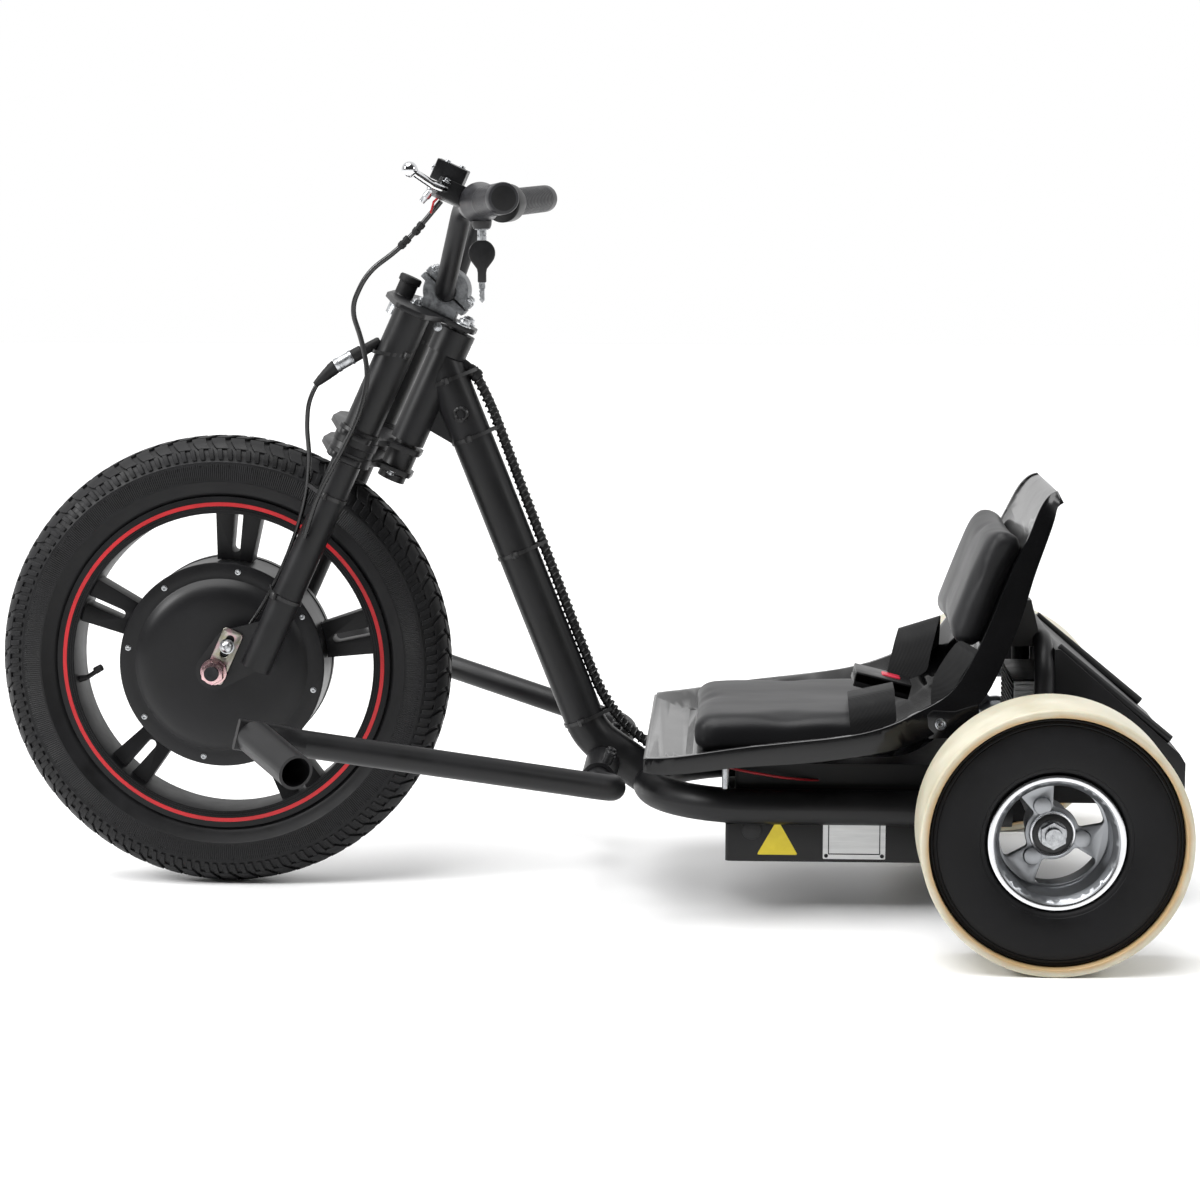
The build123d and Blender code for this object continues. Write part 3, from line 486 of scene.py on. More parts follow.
for side in (-1, 1):
    washer_seat, nut_seat = front_hub + to_left * side * 0.0884, front_hub + to_left * side * 0.0908
    ends.append(stand(rounded(drum(14.6, 2.6, sides=40), 0.6), washer_seat, (0, side, 0)))
    ends.append(stand(rounded(drum(13.4, 11, sides=6), 1.2), nut_seat, (0, side, 0)))
    dome = [(side * along, out) for along, out in cap]
    domes.append(spun("cap_nut", dome, on_fork(82, side * 87.9, -277.5), to_left, 32))
settle(joined("front_nuts", ends), pink_zinc, "steering", ["axle_nuts"])
settle(joined("torque_plate_nuts", domes), zinc_plate, "steering")

# -------------------- crowns and bar clamp
# Laser-cut steel crown plates, powder coated, and a sand-cast aluminium clamp, bare and grey, round the bar.
# A rubber cap covers the plated stud ahead of the clamp.
fitted("upper_crown_plate", "upper_crown", 1.0, powder_coat, "steering")
fitted("lower_crown_plates", "lower_crown", 1.2, powder_coat, "steering")
cast_aluminium = finish("sand_cast_aluminium", {"Metallic": 0.85},
                        "#5c5e60", "#8d8f91", 5, (0.45, 0.65), 1.6, 0.28)
fitted("bar_clamp_casting", "bar_clamp", 1.6, cast_aluminium, "steering", 3)
stud_foot = head_foot + steer_ahead * 0.069
cap_outline = [(146, 10.7), (159.4, 10.7), (160, 12.2), (161, 12.6), (166, 12.6), (167.4, 11.6), (167.6, 0),
               (146, 0)]
settle(spun("stud_cap", cap_outline, stud_foot, steer_up, 48), rubber, "steering")
sleeve_outline = [(120.6, 0), (120.6, 10), (121.4, 11.2), (130, 11.2), (130.6, 10.6), (131.2, 11.2),
                  (137.6, 11.2), (137.6, 0)]
settle(spun("stud_sleeve", sleeve_outline, stud_foot, steer_up, 48), zinc_plate, "steering")

# Two thick collars are welded round each leg, at the two plates of the lower crown.
collars = []
out = 24.5
for side in (-80, 80):
    for foot, top in ((-38, -25), (-19, -7)):
        ring = [(foot, 15), (foot, out - 2), (foot + 1.4, out), (top - 1.4, out), (top, out - 2), (top, 15)]
        collars.append(spun("leg_collar", ring, on_fork(45, side, 0), steer_up, 64))
settle(joined("leg_collars", collars), powder_coat, "steering")

# -------------------- grips
# Soft moulded sleeves pushed on the bar ends. The left one widens to a flange that holds the key lock.
# Fine rings run round both, and a disc closes each end.
grip_rubber = finish("soft_grip_rubber", {"IOR": 1.42}, "#1d1d1f", "#28282b", 20, (0.34, 0.48), 1.6, 0.05)
for name, sign in (("left", 1), ("right", -1)):
    tip = on_fork(-10, sign * 300, 297)
    inward = (on_fork(40, sign * 100, 265) - tip).normalized()
    outline = [(-4, 0), (-4, 13), (-3.2, 15.2), (-1.8, 16), (8, 16)]
    for ring in range(14 if sign > 0 else 21):
        along = 12 + ring * 4.8
        outline += [(along, 16), (along + 0.8, 15.5), (along + 1.6, 15.5), (along + 2.4, 16)]
    flange = [(80, 16), (84, 16.1), (112, 21.2), (113.5, 21.5), (117, 21.5), (118, 20.8)]
    outline += flange if sign > 0 else [(117, 16), (118, 15.2)]
    outline += [(118, 11.4), (-1, 11.4), (-1, 0)]
    disc = [(-4.3, 0), (-4.3, 11.8), (-3.9, 12.8), (-3, 13), (-3, 0)]
    settle(spun("grip_end_" + name, disc, tip, inward, 64), rubber, "steering")
    grip = spun("grip_sleeve_" + name, outline, tip, inward, 64, False)
    settle(grip, grip_rubber, "steering", ["grip_" + name], 30)
    if name == "left":
        lock_reach = 0.108
        lock_place = tip + inward * lock_reach

# -------------------- brake lever and controls
# A forged lever, chrome plated, in a moulded perch with a switch block on it, and the throttle's housing.
# Plated screws close the clamps, and a red tag hangs on the brake lead.
chrome = finish("chrome_plate", {"Metallic": 1.0}, "#c9cacc", "#dedfe1", 20, (0.06, 0.12), 4.0, 0.005)
dress(chrome, "brake_lever")
moulded = finish("moulded_black_abs", {"IOR": 1.42}, "#0a0a0b", "#121214", 30, (0.3, 0.45), 1.2, 0.03)
fitted("brake_perch_moulding", "brake_perch", 1.6, moulded, "steering", 3)
fitted("throttle_moulding", "throttle_housing", 1.6, moulded, "steering", 3)
perch_screws = [stood(socket_screw, on_fork(66, 178, 303), steer_up, 0.7),
                stood(socket_screw, on_fork(52, 156, 303), steer_up, 0.7),
                stood(socket_screw, on_fork(77, 172, 292), steer_ahead, 0.8),
                stood(bolt, on_fork(58, 190, 284), steer_up, 0.6)]
settle(joined("perch_screws", perch_screws), zinc_plate, "steering")
tag = chain("brake_tag", [on_fork(62, 146, 268), on_fork(66, 146, 258), on_fork(64, 146, 246)])
with editing():
    push((0, 0.009, 0.001))
apply(tag, "SOLIDIFY", thickness=0.0012)
settle(tag, red_tape, "steering")

# The brake's adjuster is a turned barrel with a lock ring under the perch.
# Two sleeved joints are on its lead.
adjuster = [(0, 0), (0, 3.2), (5, 3.2), (5, 5.2), (6, 5.8), (8.4, 5.8), (9.4, 5.2), (9.4, 4.2), (17, 4.2),
            (18, 3.4), (24, 3), (24, 0)]
lead_way = (on_fork(70, 134, 228) - on_fork(60, 138, 262)).normalized()
settle(spun("brake_adjuster", adjuster, on_fork(71, 146, 276), lead_way, 36), zinc_plate, "steering")
joint = [(0, 0), (0, 3), (1, 4.2), (5, 4.4), (6, 3.6), (8, 3.6), (9, 4.4), (13, 4.2), (15, 2.9), (15, 0)]
low_way = on_fork(82, 128, 196) - on_fork(70, 134, 228)
lead_joints = [spun("lead_joint", joint, on_fork(68.5, 134.6, 233), lead_way, 28),
               spun("lead_joint", joint, on_fork(76, 131.4, 213), low_way, 28)]
settle(joined("lead_joints", lead_joints), rubber, "steering")

# The lock is a plated barrel in a moulded boss under the grip's flange.
# The key has a moulded, tear-shaped head with a long neck, on a plated blade with notches.
upright = (0, 0, 1)
boss = [(-18.5, 0), (-18.5, 10.5), (-23, 10), (-26.5, 8.6), (-27, 0)]
settle(spun("lock_boss", boss, lock_place, upright, 40), moulded, "steering")
barrel = [(-26.5, 0), (-26.5, 7.2), (-27.6, 7.2), (-28.2, 4.8), (-33, 4.8), (-33.4, 4.2), (-34, 4.8),
          (-38.4, 4.8), (-38.4, 0)]
settle(spun("lock_barrel", barrel, lock_place, upright, 32), zinc_plate, "steering",
       ["key_lock"])


def closed(points):
    """A ring of points, ended at its first one."""
    return points + points[:1]


def slab(ring, thick_mm, corner_mm=None):
    """Fills a ring of edges, with its corners rounded if a radius is given, and thickens it to the left."""
    with editing():
        weld()
        if corner_mm:
            bpy.ops.mesh.bevel(offset=corner_mm / 1000, segments=4, affect="VERTICES")
            bpy.ops.mesh.select_all(action="SELECT")
        bpy.ops.mesh.edge_face_add()
        push(to_left * thick_mm / 1000)
        face_out()
    return ring


def flat_piece(name, profile, middle, thick_mm):
    """A flat piece facing left, from its profile across and up from a point, in millimetres."""
    start = middle - to_left * thick_mm / 2000
    points = [start + Vector((across, 0, up)) / 1000 for across, up in profile]
    return slab(chain(name, closed(points)), thick_mm)


low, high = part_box("ignition_key")
key_middle = Vector(((low.x + high.x) / 2, (low.y + high.y) / 2, high.z - 0.013))
head_radius = 13.8
round_head = [math.radians(degrees) for degrees in range(-126, 127, 12)]
tear = [(head_radius * math.sin(turn), head_radius * math.cos(turn)) for turn in round_head]
tear += [(5.2, -16), (4.4, -20), (4.4, -30), (-4.4, -30), (-4.4, -20), (-5.2, -16)]
key_head = rounded(flat_piece("key_head", tear, key_middle, 5.6), 1.2, 3, 50)
settle(key_head, moulded, "steering", ["ignition_key"])
profile = [(-3.3, -28), (3.3, -28), (3.3, -36), (2.2, -37), (3.2, -39), (2.2, -41), (3.2, -43), (2.0, -45.5),
           (3.0, -47.5), (0, -51), (-2.6, -48), (-2.6, -37), (-3.3, -36)]
key_blade = rounded(flat_piece("key_blade", profile, key_middle, 2.2), 0.3, 1, 50)
settle(key_blade, zinc_plate, "steering")

# -------------------- leads on the fork
# PVC-covered control leads. The motor's lead runs through a plug with a rubber boot at each end and a
# plated sleeve between them.
lead_cover = finish("black_pvc_lead", {"IOR": 1.53}, "#09090a", "#111112", 15, (0.22, 0.34), 1.2, 0.02)
dress(lead_cover, "steering_cables")
upper, lower = on_fork(84.4, 84.6, 69), on_fork(96.8, 86.2, 52)
along = (lower - upper).normalized()
high_boot = [(-34, 0), (-34, 4.2), (-32, 5.4), (-12, 6.0), (-11, 7.2), (-4, 7.4), (0.5, 7.4), (0.5, 0)]
low_boot = [(-0.5, 0), (-0.5, 7.4), (6, 7.4), (8, 6.8), (9, 7), (11, 6.4), (12, 6.6), (22, 5), (30, 3.4),
            (31, 0)]
boots = [spun("boot", high_boot, upper, along, 40),
         spun("boot", low_boot, lower, on_fork(108.5, 87, 25.6) - lower, 40)]
settle(joined("plug_boots", boots), rubber, "steering")
metal = [(0, 0), (0, 7.6), (1, 8.2), (3, 8.2), (3.6, 7.4), (16, 7.4), (16.6, 8.0), (20, 8.0), (21, 7.4),
         (21, 0)]
settle(spun("plug_sleeve", metal, upper, along, 48), zinc_plate, "steering")

# -------------------- cable ties
# Nylon ties pulled tight round the tubes and the leads beside them, each with its square head.
# Four hold the wiring loom to the back of the down tube, and four hold the leads to the fork's legs.
nylon = finish("black_nylon", {"IOR": 1.53}, "#0c0c0d", "#161617", 12, (0.35, 0.5), 1.0, 0.03)


def tie(centre, along, toward, tube_mm, lead_mm, apart_mm):
    """A strap round a tube and a lead that lies beside it, drawn as the outline round both circles."""
    along, toward = Vector(along).normalized(), Vector(toward).normalized()
    across = along.cross(toward)
    strap_width = along * 0.004
    lean = math.asin((tube_mm - lead_mm) / apart_mm)
    points = []
    bends = ((14, math.pi / 2 - lean, math.pi + 2 * lean, tube_mm, 0),
             (8, lean - math.pi / 2, math.pi - 2 * lean, lead_mm, apart_mm))
    for steps, first, sweep, radius, reach in bends:
        for step in range(steps + 1):
            turn = first + sweep * step / steps
            off = toward * (reach + math.cos(turn) * radius) + across * math.sin(turn) * radius
            points.append(centre + off / 1000 - strap_width / 2)
    made = chain("tie", closed(points))
    with editing():
        weld()
        push(strap_width)
        face_out()
    apply(made, "SOLIDIFY", thickness=0.0013, offset=0)
    seat = centre + (across * (tube_mm + 2) - toward * 2) / 1000
    lock = rod_between("tie_head", seat - along * 0.0035, seat + along * 0.0035, 4.0, 4.0, 4)
    return joined("tie", [made, rounded(lock, 0.6)])


def on_frame(behind, side, height):
    """A point behind the front axle, to the left and up, in millimetres."""
    return Vector((front_hub.x - behind / 1000, side / 1000, height / 1000))


down = (on_frame(408, 0, 170) - on_frame(240, 0, 596)).normalized()
tube_ties = [tie(on_frame(behind, 0, height), down, to_left.cross(down), 23.4, 6.2, 28.5)
             for behind, height in ((251.5, 566.8), (276.5, 503.4), (327, 375.4), (400.7, 188.4))]
settle(joined("tube_ties", tube_ties), nylon, "frame")
leg, sleeve, lead = 17.4, 20.6, 3.4
leg_ties = [tie(on_fork(45, 80, -80), steer_up, steer_ahead * 28 - to_left * 12, leg, lead, 30.5),
            tie(on_fork(45, 80, -203), steer_up, steer_ahead * 20.6 - to_left * 21.4, leg, lead, 29.7),
            tie(on_fork(45, 80, 94), steer_up, (0.8, 0.5, 0), sleeve, lead, 23.6)]
settle(joined("leg_ties", leg_ties), nylon, "steering")
right_tie = tie(on_fork(45, -80, 94), steer_up, (0.8, -0.5, 0), sleeve, lead, 23.6)
settle(joined("right_leg_tie", [right_tie]), nylon, "steering")

# -------------------- wiring loom
# The battery's leads in a spiral wrap of black polyethylene 3 mm thick, tied behind the down tube. It climbs
# 7 mm a turn. At the top, the leads go into the tube through a rubber boot.


def curved(name, points, kind="NURBS", resolution=12, **settings):
    """A curve object led by its points; the bevel that makes it a rod is in its settings."""
    curve = bpy.data.curves.new(name, "CURVE")
    curve.dimensions = "3D"
    for setting, value in settings.items():
        setattr(curve, setting, value)
    run = curve.splines.new(kind)
    run.points.add(len(points) - 1)
    for point, place in zip(run.points, points):
        point.co = (*place, 1)
    run.order_u = 3
    run.use_endpoint_u = True
    run.resolution_u = resolution
    return placed(name, curve)


def meshed(line, material, body):
    """Turns a curve with a bevel into a finished piece."""
    alone(line)
    bpy.ops.object.convert(target="MESH")
    return settle(bpy.context.object, material, body, smooth=60)


stops = [(278, 0, 579), (298, 2, 541), (328, -1, 457), (364.5, 1, 361), (391, 0, 290), (429, 0, 194),
         (501, 0, 139.5), (569.7, 0, 139)]
line = curved("loom_route", [on_frame(*stop) for stop in stops], resolution=40)
bpy.context.view_layer.update()
stations = [vertex.co.copy() for vertex in bpy.data.meshes.new_from_object(line).vertices]
bpy.data.objects.remove(line)
turn_length, coil_radius, point_step = 0.007, 0.0053, 0.0009
wrap_points, travelled = [], 0.0
for before, here in zip(stations, stations[1:]):
    step = here - before
    pieces = max(1, round(step.length / point_step))
    over_way = step.normalized().cross(to_left)
    for k in range(pieces):
        turn = (travelled + step.length * k / pieces) / turn_length * 2 * math.pi
        out = to_left * math.cos(turn) + over_way * math.sin(turn)
        wrap_points.append(before + step * k / pieces + out * coil_radius)
    travelled += step.length
wrap = curved("loom_wrap", wrap_points, "POLY", bevel_depth=0.0015, bevel_resolution=1)
meshed(wrap, lead_cover, "frame")
boot_foot = on_frame(280.5, 0, 573)
boot = [(-6, 0), (-6, 6.6), (-3, 7.8), (0, 7.8), (1, 7), (4, 7), (5, 7.6), (9, 7), (10, 6.2), (13, 6.2),
        (24, 5.6), (29, 5.6), (29, 0)]
loom_boot = spun("loom_boot", boot, boot_foot, on_frame(258, 0, 592) - boot_foot, 40)
settle(loom_boot, rubber, "frame")

# -------------------- cross sleeve bolts
# Black socket screws pinch the foot arms in the sleeve, two on each side.
# A rubbery grommet with a hollow middle closes the hole in the down tube's side.
pinch = []
for side in (-98, -74, 74, 98):
    foot = on_frame(434, side, 165)
    pinch.append(stood(socket_screw, foot, foot - on_frame(430, side, 156), 1.25))
settle(joined("pinch_screws", pinch), oxide, "frame")
grommet = [(-3, 0), (-1.2, 0), (-1.2, 4.4), (0.6, 4.6), (1.8, 5.8), (1.8, 7.4), (0.6, 8.8), (-3, 8.8)]
settle(spun("tube_grommet", grommet, on_frame(266.2, 22.4, 530), to_left, 40), lead_cover, "frame")

# -------------------- battery case
# Folded steel case with a lid, powder coated, with a pressed round boss on its side.
# It carries a blank yellow sign plate and a blank alloy plate on four rivets.
fitted("battery_case", "battery_box", 2.0, powder_coat, "frame", 3)
case_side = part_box("battery_box")[1].y


def on_case(behind, up, out=0.0):
    """A point behind the front axle, up and out from the case's left side, in millimetres."""
    return on_frame(behind, case_side * 1000 + out, up)


boss = [(-0.5, 0), (1.6, 0), (1.6, 9), (0.9, 10.6), (-0.5, 11)]
settle(spun("case_boss", boss, on_case(588.5, 91.5), to_left, 40, False), powder_coat, "frame")


def plate(name, corners, thick_mm, corner_mm):
    """A thin plate with rounded corners on the case's left side."""
    ring = closed([on_case(behind, up, 0.1) for behind, up in corners])
    return slab(chain(name, ring), thick_mm, corner_mm)


yellow = finish("printed_yellow_vinyl", {"IOR": 1.5}, "#dcc516", "#ecd62a", 20, (0.3, 0.42), 2.0, 0.01)
sign = plate("yellow_sign", [(594, 64.5), (638, 64.5), (616, 103.5)], 0.35, 2.2)
settle(sign, yellow, "frame")
alloy = finish("satin_aluminium_plate", {"Metallic": 0.55},
               "#c6c7c8", "#dcdddd", 14, (0.42, 0.55), 0.9, 0.01, (0.2, 1, 3))
settle(plate("alloy_plate", [(665, 60.5), (732, 60.5), (732, 104), (665, 104)], 0.6, 1.2), alloy, "frame")
rivets = [stood(socket_screw, on_case(behind, up, 0.6), to_left, 0.42)
          for behind, up in ((668.5, 64), (728.5, 64), (668.5, 100.5), (728.5, 100.5))]
settle(joined("plate_rivets", rivets), oxide, "frame")
border = plate("plate_border", [(671, 66), (726, 66), (726, 98.5), (671, 98.5)], 0.75, 0.6)
apply(border, "WIREFRAME", thickness=0.0012, use_replace=True)
settle(border, oxide, "frame")

# -------------------- rear cover and controller
# Folded sheet cover, powder coated, and the motor controller's extruded aluminium case with its fins.
# A ribbed alloy cover closes each end of the case.
fitted("rear_cover_sheet", "rear_cover", 2.2, powder_coat, "frame", 3)
anodised = finish("black_anodised_aluminium", {"Metallic": 0.7},
                  "#1a1a1c", "#28282b", 16, (0.4, 0.55), 1.5, 0.02)
fitted("controller_case", "controller", 0.6, anodised, "frame")
low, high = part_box("controller")
case_middle = (low + high) / 2
covers = []
for side in (-1, 1):
    face = Vector((case_middle.x + 0.003, side * (high.y + 0.0006), case_middle.z))
    covers.append(flat_piece("cover", [(-15, -23), (15, -23), (15, 23), (-15, 23)], face, 1.4))
    for rib in range(7):
        level = face + Vector((0, side * 0.0012, (rib - 3) * 0.006))
        covers.append(flat_piece("rib", [(-13.5, -1.2), (13.5, -1.2), (13.5, 1.2), (-13.5, 1.2)], level, 1.6))
settle(rounded(joined("controller_covers", covers), 0.3, 1, 50), alloy, "frame")

# The battery's leads leave the loom under the seat: three black ones, and a thin red one beside them.
# Each has its radius, its cover and its stops behind the front axle, to the left and up.
red_cover = finish("red_pvc_lead", {"IOR": 1.5}, "#8c0c18", "#a81522", 12, (0.3, 0.42), 1.2, 0.02)
leads = [(3.6, lead_cover, [(500, 4, 141), (522, 18, 146), (552, 30, 149), (586, 34, 140)]),
         (3.6, lead_cover, [(500, 0, 143), (522, 4, 137), (552, 6, 141), (586, 4, 146)]),
         (3.6, lead_cover, [(500, -4, 141), (522, -10, 129), (552, -18, 132), (586, -22, 138)]),
         (1.4, red_cover, [(512, 30, 147), (548, 92, 156), (578, 121, 154), (645, 122, 144), (672, 96, 140)])]
for number, (radius_mm, cover, stops) in enumerate(leads):
    lead = curved("battery_lead_%d" % number, [on_frame(*stop) for stop in stops],
                  bevel_depth=radius_mm / 1000, bevel_resolution=3, use_fill_caps=True)
    meshed(lead, cover, "frame")

# -------------------- seat shell
# A thick polyethylene moulding with a high gloss, its rim rolled down all round, bolted to the hoop's lugs.
# Plated screws with cup washers hold the belt's ends through it.
gloss_shell = finish("gloss_black_polyethylene", {"IOR": 1.38, "Coat Weight": 0.15, "Coat Roughness": 0.06},
                     "#070708", "#0d0d0e", 80, (0.14, 0.22), 16.0, 0.02)
fitted("seat_shell_moulding", "seat_shell", 2.4, gloss_shell, "frame", 3, 34, 44)
belt_bolts = []
cup = [(-2, 3), (-2, 6), (1.2, 6.4), (3.2, 5.8), (3.6, 4.6), (3, 3)]
for side in (-1, 1):
    seat, screw_seat = on_frame(783.6, side * 204.6, 222.9), on_frame(783.6, side * 205.6, 222.9)
    belt_bolts.append(spun("cup_washer", cup, seat, (0, side, 0), 36))
    belt_bolts.append(stood(socket_screw, screw_seat, (0, side, 0), 0.9))
settle(joined("belt_bolts", belt_bolts), zinc_plate, "frame")

# Black plates on the hoop's lugs stand outside the shell, under the bolts.
corners = [(-15, -14), (13, -15), (15, 10), (9, 15), (-13, 14), (-38, 22), (-41, -17)]
lug_faces = [rounded(flat_piece("lug_face", corners, on_frame(784.5, side * 203.4, 222), 3), 1.0, 2, 50)
             for side in (-1, 1)]
settle(joined("shell_lug_faces", lug_faces), gloss_shell, "frame")

# -------------------- cushions
# Foam blocks in stretched black vinyl, glued to the shell.
# They have rounded edges, a slight crown and a soft, dull shine.


def stuffed(name, node, swell_mm, cap_mm, voxel_mm):
    """A cushion swollen from a slightly smaller copy of its solid, each point held within a cap."""
    made = placed(name, frame["nodes"][node].data.copy())
    alone(made)
    low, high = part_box(node)
    centre = (low + high) / 2
    shrink = Vector([1 - 2 * swell_mm / 1000 / length for length in high - low])
    for vertex in made.data.vertices:
        vertex.co = centre + (vertex.co - centre) * shrink
    with editing():
        weld()
    apply(made, "REMESH", mode="VOXEL", voxel_size=voxel_mm / 1000, use_smooth_shade=True)
    start = [vertex.co.copy() for vertex in made.data.vertices]
    cloth = made.modifiers.new("cover", "CLOTH")
    cloth.settings.quality = 5
    cloth.settings.use_pressure = True
    cloth.settings.uniform_pressure_force = 4.0
    cloth.settings.effector_weights.gravity = 0.0
    for number in range(1, 21):
        bpy.context.scene.frame_set(number)
    bpy.ops.object.modifier_apply(modifier="cover")
    bpy.context.scene.frame_set(1)
    for vertex, place in zip(made.data.vertices, start):
        move = vertex.co - place
        if move.length > cap_mm / 1000:
            vertex.co = place + move.normalized() * cap_mm / 1000
    apply(made, "SMOOTH", iterations=12)
    apply(made, "SUBSURF", levels=1, render_levels=1)
    return made


# The vinyl's grain is about 0.7 mm and is drawn at 1.8 mm; its faint streaks run across the seat.
vinyl = finish("black_vinyl", {"IOR": 1.34, "Sheen Weight": 0.06, "Sheen Roughness": 0.5},
               "#111113", "#19191b", 70, (0.38, 0.5), 1.8, 0.08, (0.35, 1, 1))
for name, node in (("base_cushion", "seat_pad"), ("back_cushion", "back_pad")):
    settle(stuffed(name, node, 1.6, 5, 5), vinyl, "frame", [node], 60)

# -------------------- lap belt
# Polyester webbing: a tail folded over the base cushion's left edge, the right half that arches from the
# right of the seat to the buckle, and the left half's end beside the back cushion, of which a part shows.
webbing, tree, shader = start_finish("woven_polyester_webbing", {"IOR": 1.35, "Sheen Weight": 0.15,
                                                                 "Sheen Roughness": 0.4})
spot, _, relief = mottle(tree, shader, "#0a0a0b", "#131314", 30, (0.7, 0.85), 2.0, 0.1)
weave = add(tree, "TexWave", {"Vector": spot, "Scale": 160.0, "Distortion": 1.2, "Detail": 1.0},
            bands_direction="DIAGONAL")
twill = add(tree, "Bump", {"Height": weave.outputs["Fac"], "Distance": 0.00012, "Strength": 0.8,
                           "Normal": relief.outputs["Normal"]})
tree.links.new(twill.outputs["Normal"], shader.inputs["Normal"])


def strap(name, stops, width, replaced=()):
    """A webbing strap: its line from stop to stop, extruded across by its width, smoothed, thickened."""
    made = chain(name, [on_frame(*stop) for stop in stops])
    with editing():
        push(width)
        bpy.ops.mesh.select_all(action="SELECT")
        bpy.ops.mesh.subdivide(number_cuts=1)
    apply(made, "SUBSURF", levels=2, render_levels=2)
    apply(made, "SOLIDIFY", thickness=0.0016, offset=0)
    settle(made, webbing, "frame", replaced, 60)


tail = [(694, 22, 222), (692, 60, 231), (690.5, 98, 235.5), (690.2, 125, 235), (690.5, 139, 227),
        (691.5, 145, 214), (692.6, 146, 200)]
strap("belt_tail", tail, Vector((-0.049, 0, 0.0112)), ["lap_belt"])
arch = [(737, -30, 222), (741, -38, 242), (748, -52, 267), (754, -72, 281.5), (756, -96, 278),
        (757, -120, 258), (758, -146, 236), (760, -170, 226)]
strap("belt_right_half", arch, Vector((-0.0475, -0.006, 0.014)))
loose = [(809, 128, 299), (803, 137, 297), (794, 141, 286), (785, 144, 272), (779, 146, 260),
         (777, 148, 244), (778, 150, 226)]
strap("belt_left_half", loose, Vector((-0.021, 0.016, -0.010)))

# The buckle is a moulded ABS case with a red push button in its top.
case = begun("buckle_case", "cube", size=1, scale=(0.063, 0.060, 0.011))
pick_top(case)
with editing(None):
    bpy.ops.mesh.inset(thickness=0.007)
    push((0, 0, 0.006))
    bpy.ops.mesh.inset(thickness=0.0035)
    push((0, 0, -0.0012))
rounded(case, 1.2, 3, 30)
button = begun("buckle_button", "cube", size=1, location=(-0.009, 0, 0.0106), scale=(0.021, 0.021, 0.005))
rounded(button, 1.4, 3)
lying = Matrix.Translation(on_frame(731, -4, 229.5)) @ Matrix.Rotation(math.radians(-14), 4, "Y")
for part in (case, button):
    part.data.transform(lying)
settle(case, moulded, "frame", ["belt_buckle"])
red_abs = finish("moulded_red_abs", {"IOR": 1.5}, "#b01530", "#c92642", 12, (0.3, 0.42), 1.2, 0.02)
settle(button, red_abs, "frame")

# -------------------- rear wheels
# Spun aluminium kart rims with a polished lip and a turned barrel, a sealed bearing in the hub, and slick
# tyres with fine shoulder grooves. Each tyre runs in a band of cream PVC pipe, stained brown where it rubs.
turned_metal = finish("turned_aluminium", {"Metallic": 1.0},
                      "#8b8d90", "#9c9ea1", 60, (0.3, 0.38), 3.0, 0.003)
polished = finish("polished_aluminium", {"Metallic": 1.0}, "#cfd0d2", "#dcdddf", 40, (0.14, 0.2), 3.0, 0.002)

low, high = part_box("drift_sleeve_left")
rear_hub = Vector(((low.x + high.x) / 2, 0, (low.z + high.z) / 2))
pvc, tree, shader = start_finish("cream_pvc_pipe", {"IOR": 1.53, "Subsurface Weight": 0.12,
                                                    "Subsurface Scale": 0.01})
_, tone, _ = mottle(tree, shader, "#b2ac95", "#c5c0ae", 45, (0.32, 0.46), 2.0, 0.02)
place, _, reach = from_axle(tree, rear_hub)
smear = add(tree, "TexNoise", {"Vector": place, "Scale": 24.0, "Detail": 4.0})
ragged = add(tree, "Math", {0: smear.outputs["Fac"], 1: 0.007, 2: -0.0035}, operation="MULTIPLY_ADD")
edge = add(tree, "Math", {0: reach, 1: ragged.outputs["Value"]}, operation="ADD")
stain = add(tree, "MapRange", {"Value": edge.outputs["Value"], "From Min": 0.1315, "From Max": 0.1275,
                               "To Min": 0.0, "To Max": 0.75})
brown = add(tree, "Mix", {0: stain.outputs["Result"]}, data_type="RGBA")
tree.links.new(tone.outputs["Color"], brown.inputs[6])
brown.inputs[7].default_value = paint("#a98650")
tree.links.new(brown.outputs[2], shader.inputs["Base Color"])

slick = finish("black_slick_rubber", {"IOR": 1.28}, "#09090a", "#111113", 40, (0.46, 0.62), 2.0, 0.04)
oil_seal = finish("black_nitrile_seal", {"IOR": 1.5}, "#0f0f10", "#1a1a1b", 8, (0.35, 0.5), 1.0, 0.02)
tyre = [(-7, 68.4), (-3.2, 69.6), (-0.6, 71.4), (0.8, 73.6), (1.4, 75.2), (2.6, 76), (3.8, 80), (4.7, 88),
        (5, 97), (4.4, 107), (3.0, 114.4), (1.8, 117.6), (0.6, 118.4), (1.0, 119.6), (0.2, 121.4),
        (-1.4, 122.2), (-1.0, 123.6), (-2.2, 125.2), (-5, 126.1), (-40, 126.1), (-80, 126.1), (-85, 122),
        (-87, 112), (-88, 97), (-86, 80), (-82, 72), (-77, 68.4), (-77, 64), (-7, 64)]
lip_ring = [(0.2, 62.6), (0.7, 63.4), (0.8, 66.6), (0.2, 67.9), (-1.2, 68.3), (-3, 68.3), (-3, 67),
            (-0.4, 66.4), (-0.4, 63)]
hub_ring = [(0, 20.4), (1.6, 20.8), (2, 22.2), (1.4, 23.2), (-2, 23.4), (-2, 20.4)]
seal_ring = [(0.1, 14.4), (0.9, 14.8), (0.9, 19.2), (0.1, 20.3), (-1, 20.3), (-1, 14.4)]
race_ring = [(0.1, 9), (1.6, 9.2), (1.8, 12.6), (1.2, 14.3), (-1, 14.3), (-1, 9)]
in_hub = (("hub_ring_", hub_ring, polished, "bare_aluminium"),
          ("bearing_seal_", seal_ring, oil_seal, "tyre_rubber"),
          ("bearing_race_", race_ring, zinc_plate, "plated_steel"))
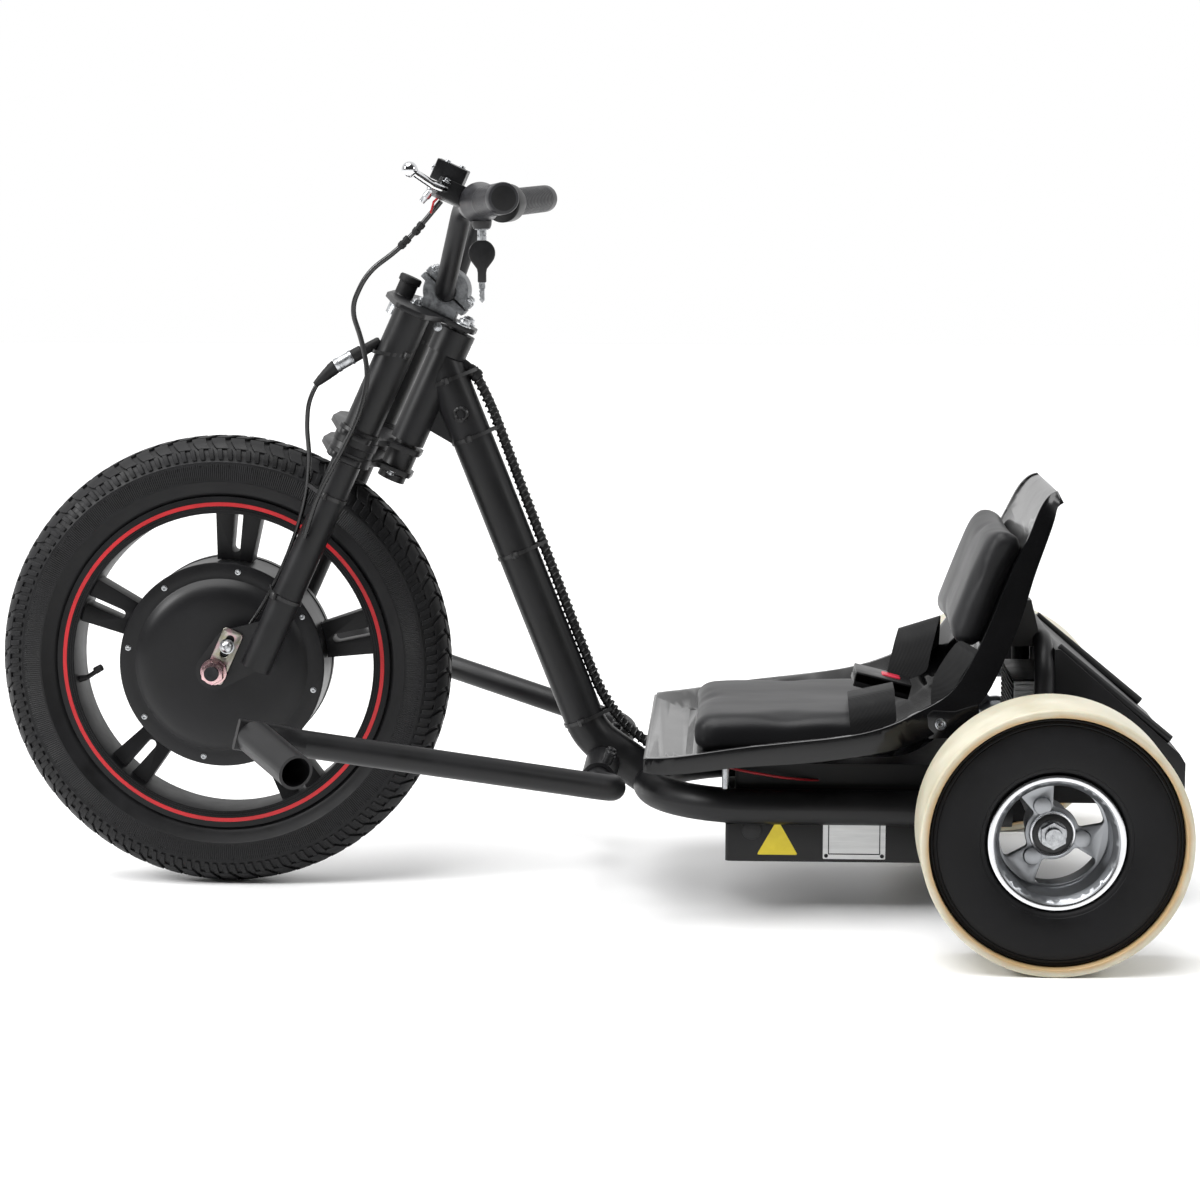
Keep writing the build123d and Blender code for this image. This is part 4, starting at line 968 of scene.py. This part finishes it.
lip_side, hub_side = 0.371, 0.329
for name, side in (("left", 1), ("right", -1)):
    out = to_left * side
    lip = rear_hub + out * lip_side
    body = "rear_wheel_" + name
    settle(spun("slick_tyre_" + name, tyre, lip, out, 128), slick, body,
           ["rear_tyre_" + name], 30)
    fitted("kart_rim_" + name, "rear_rim_" + name, 1.0, turned_metal, body)
    settle(spun("rim_lip_" + name, lip_ring, lip, out, 128), polished, body)
    for part, ring, metal, slot in in_hub:
        settle(spun(part + name, ring, rear_hub + out * hub_side, out, 72), metal, body)
    fitted("band_" + name, "drift_sleeve_" + name, 1.2, pvc, body)

# -------------------- studio
# A pale floor in a white room, under one wide soft light from above. The near side of the room is dark, which
# leaves the blacks deep, and two soft lights, ahead and behind, give the long highlights on the tubes.
for pattern in (bolt, socket_screw):
    bpy.data.objects.remove(pattern)
floor = begun("studio_floor", "plane", size=24)
floor_look = {"Roughness": 0.35, "Base Color": paint("#fbfbfb")}
floor.data.materials.append(start_finish("studio_floor_paint", floor_look)[0])

room = bpy.data.worlds.new("white_room")
room.use_nodes = True
tree = room.node_tree
seen = add(tree, "LightPath")
way = add(tree, "TexCoord")
parts = add(tree, "SeparateXYZ", {"Vector": way.outputs["Generated"]})
wall = add(tree, "MapRange", {"Value": parts.outputs["Y"], "From Min": -0.3, "From Max": 0.3, "To Min": 1.0,
                              "To Max": 0.06})
strength = add(tree, "MapRange", {"Value": seen.outputs["Is Camera Ray"], "To Min": wall.outputs["Result"],
                                  "To Max": 1.0})
backdrop = tree.nodes["Background"].inputs
backdrop["Color"].default_value = (1.0, 1.0, 1.0, 1.0)
tree.links.new(strength.outputs["Result"], backdrop["Strength"])
bpy.context.scene.world = room


def soft_light(name, place, target, size, power):
    """A square soft light that faces a point."""
    turn = (Vector(target) - Vector(place)).to_track_quat("-Z", "Y").to_euler()
    bpy.ops.object.light_add(type="AREA", location=place, rotation=turn)
    lamp = bpy.context.object
    lamp.name = name
    lamp.data.size = size
    lamp.data.energy = power


bpy.ops.object.light_add(type="SUN", rotation=(math.radians(-14), math.radians(16), 0))
bpy.context.object.name = "light_overhead"
bpy.context.object.data.angle = math.radians(50)
bpy.context.object.data.energy = 3.7
soft_light("light_front", (2.6, 1.2, 1.9), (0.1, 0, 0.4), 0.8, 55)
soft_light("light_rear", (-2.8, 0.9, 1.7), (-0.2, 0, 0.3), 0.8, 16)
bpy.context.scene.view_settings.view_transform = "Standard"

# The camera stands a little over 3 m off the left side, low down, with an 85 mm lens.
looks_down, looks_ahead = 7.99, 2.8
bpy.ops.object.camera_add(location=(-0.1732, 3.1390, 0.7632),
                          rotation=(math.radians(90 - looks_down), 0, math.radians(180 + looks_ahead)))
camera = bpy.context.object
camera.data.sensor_width = 36
camera.data.lens = 85.47
bpy.context.scene.camera = camera
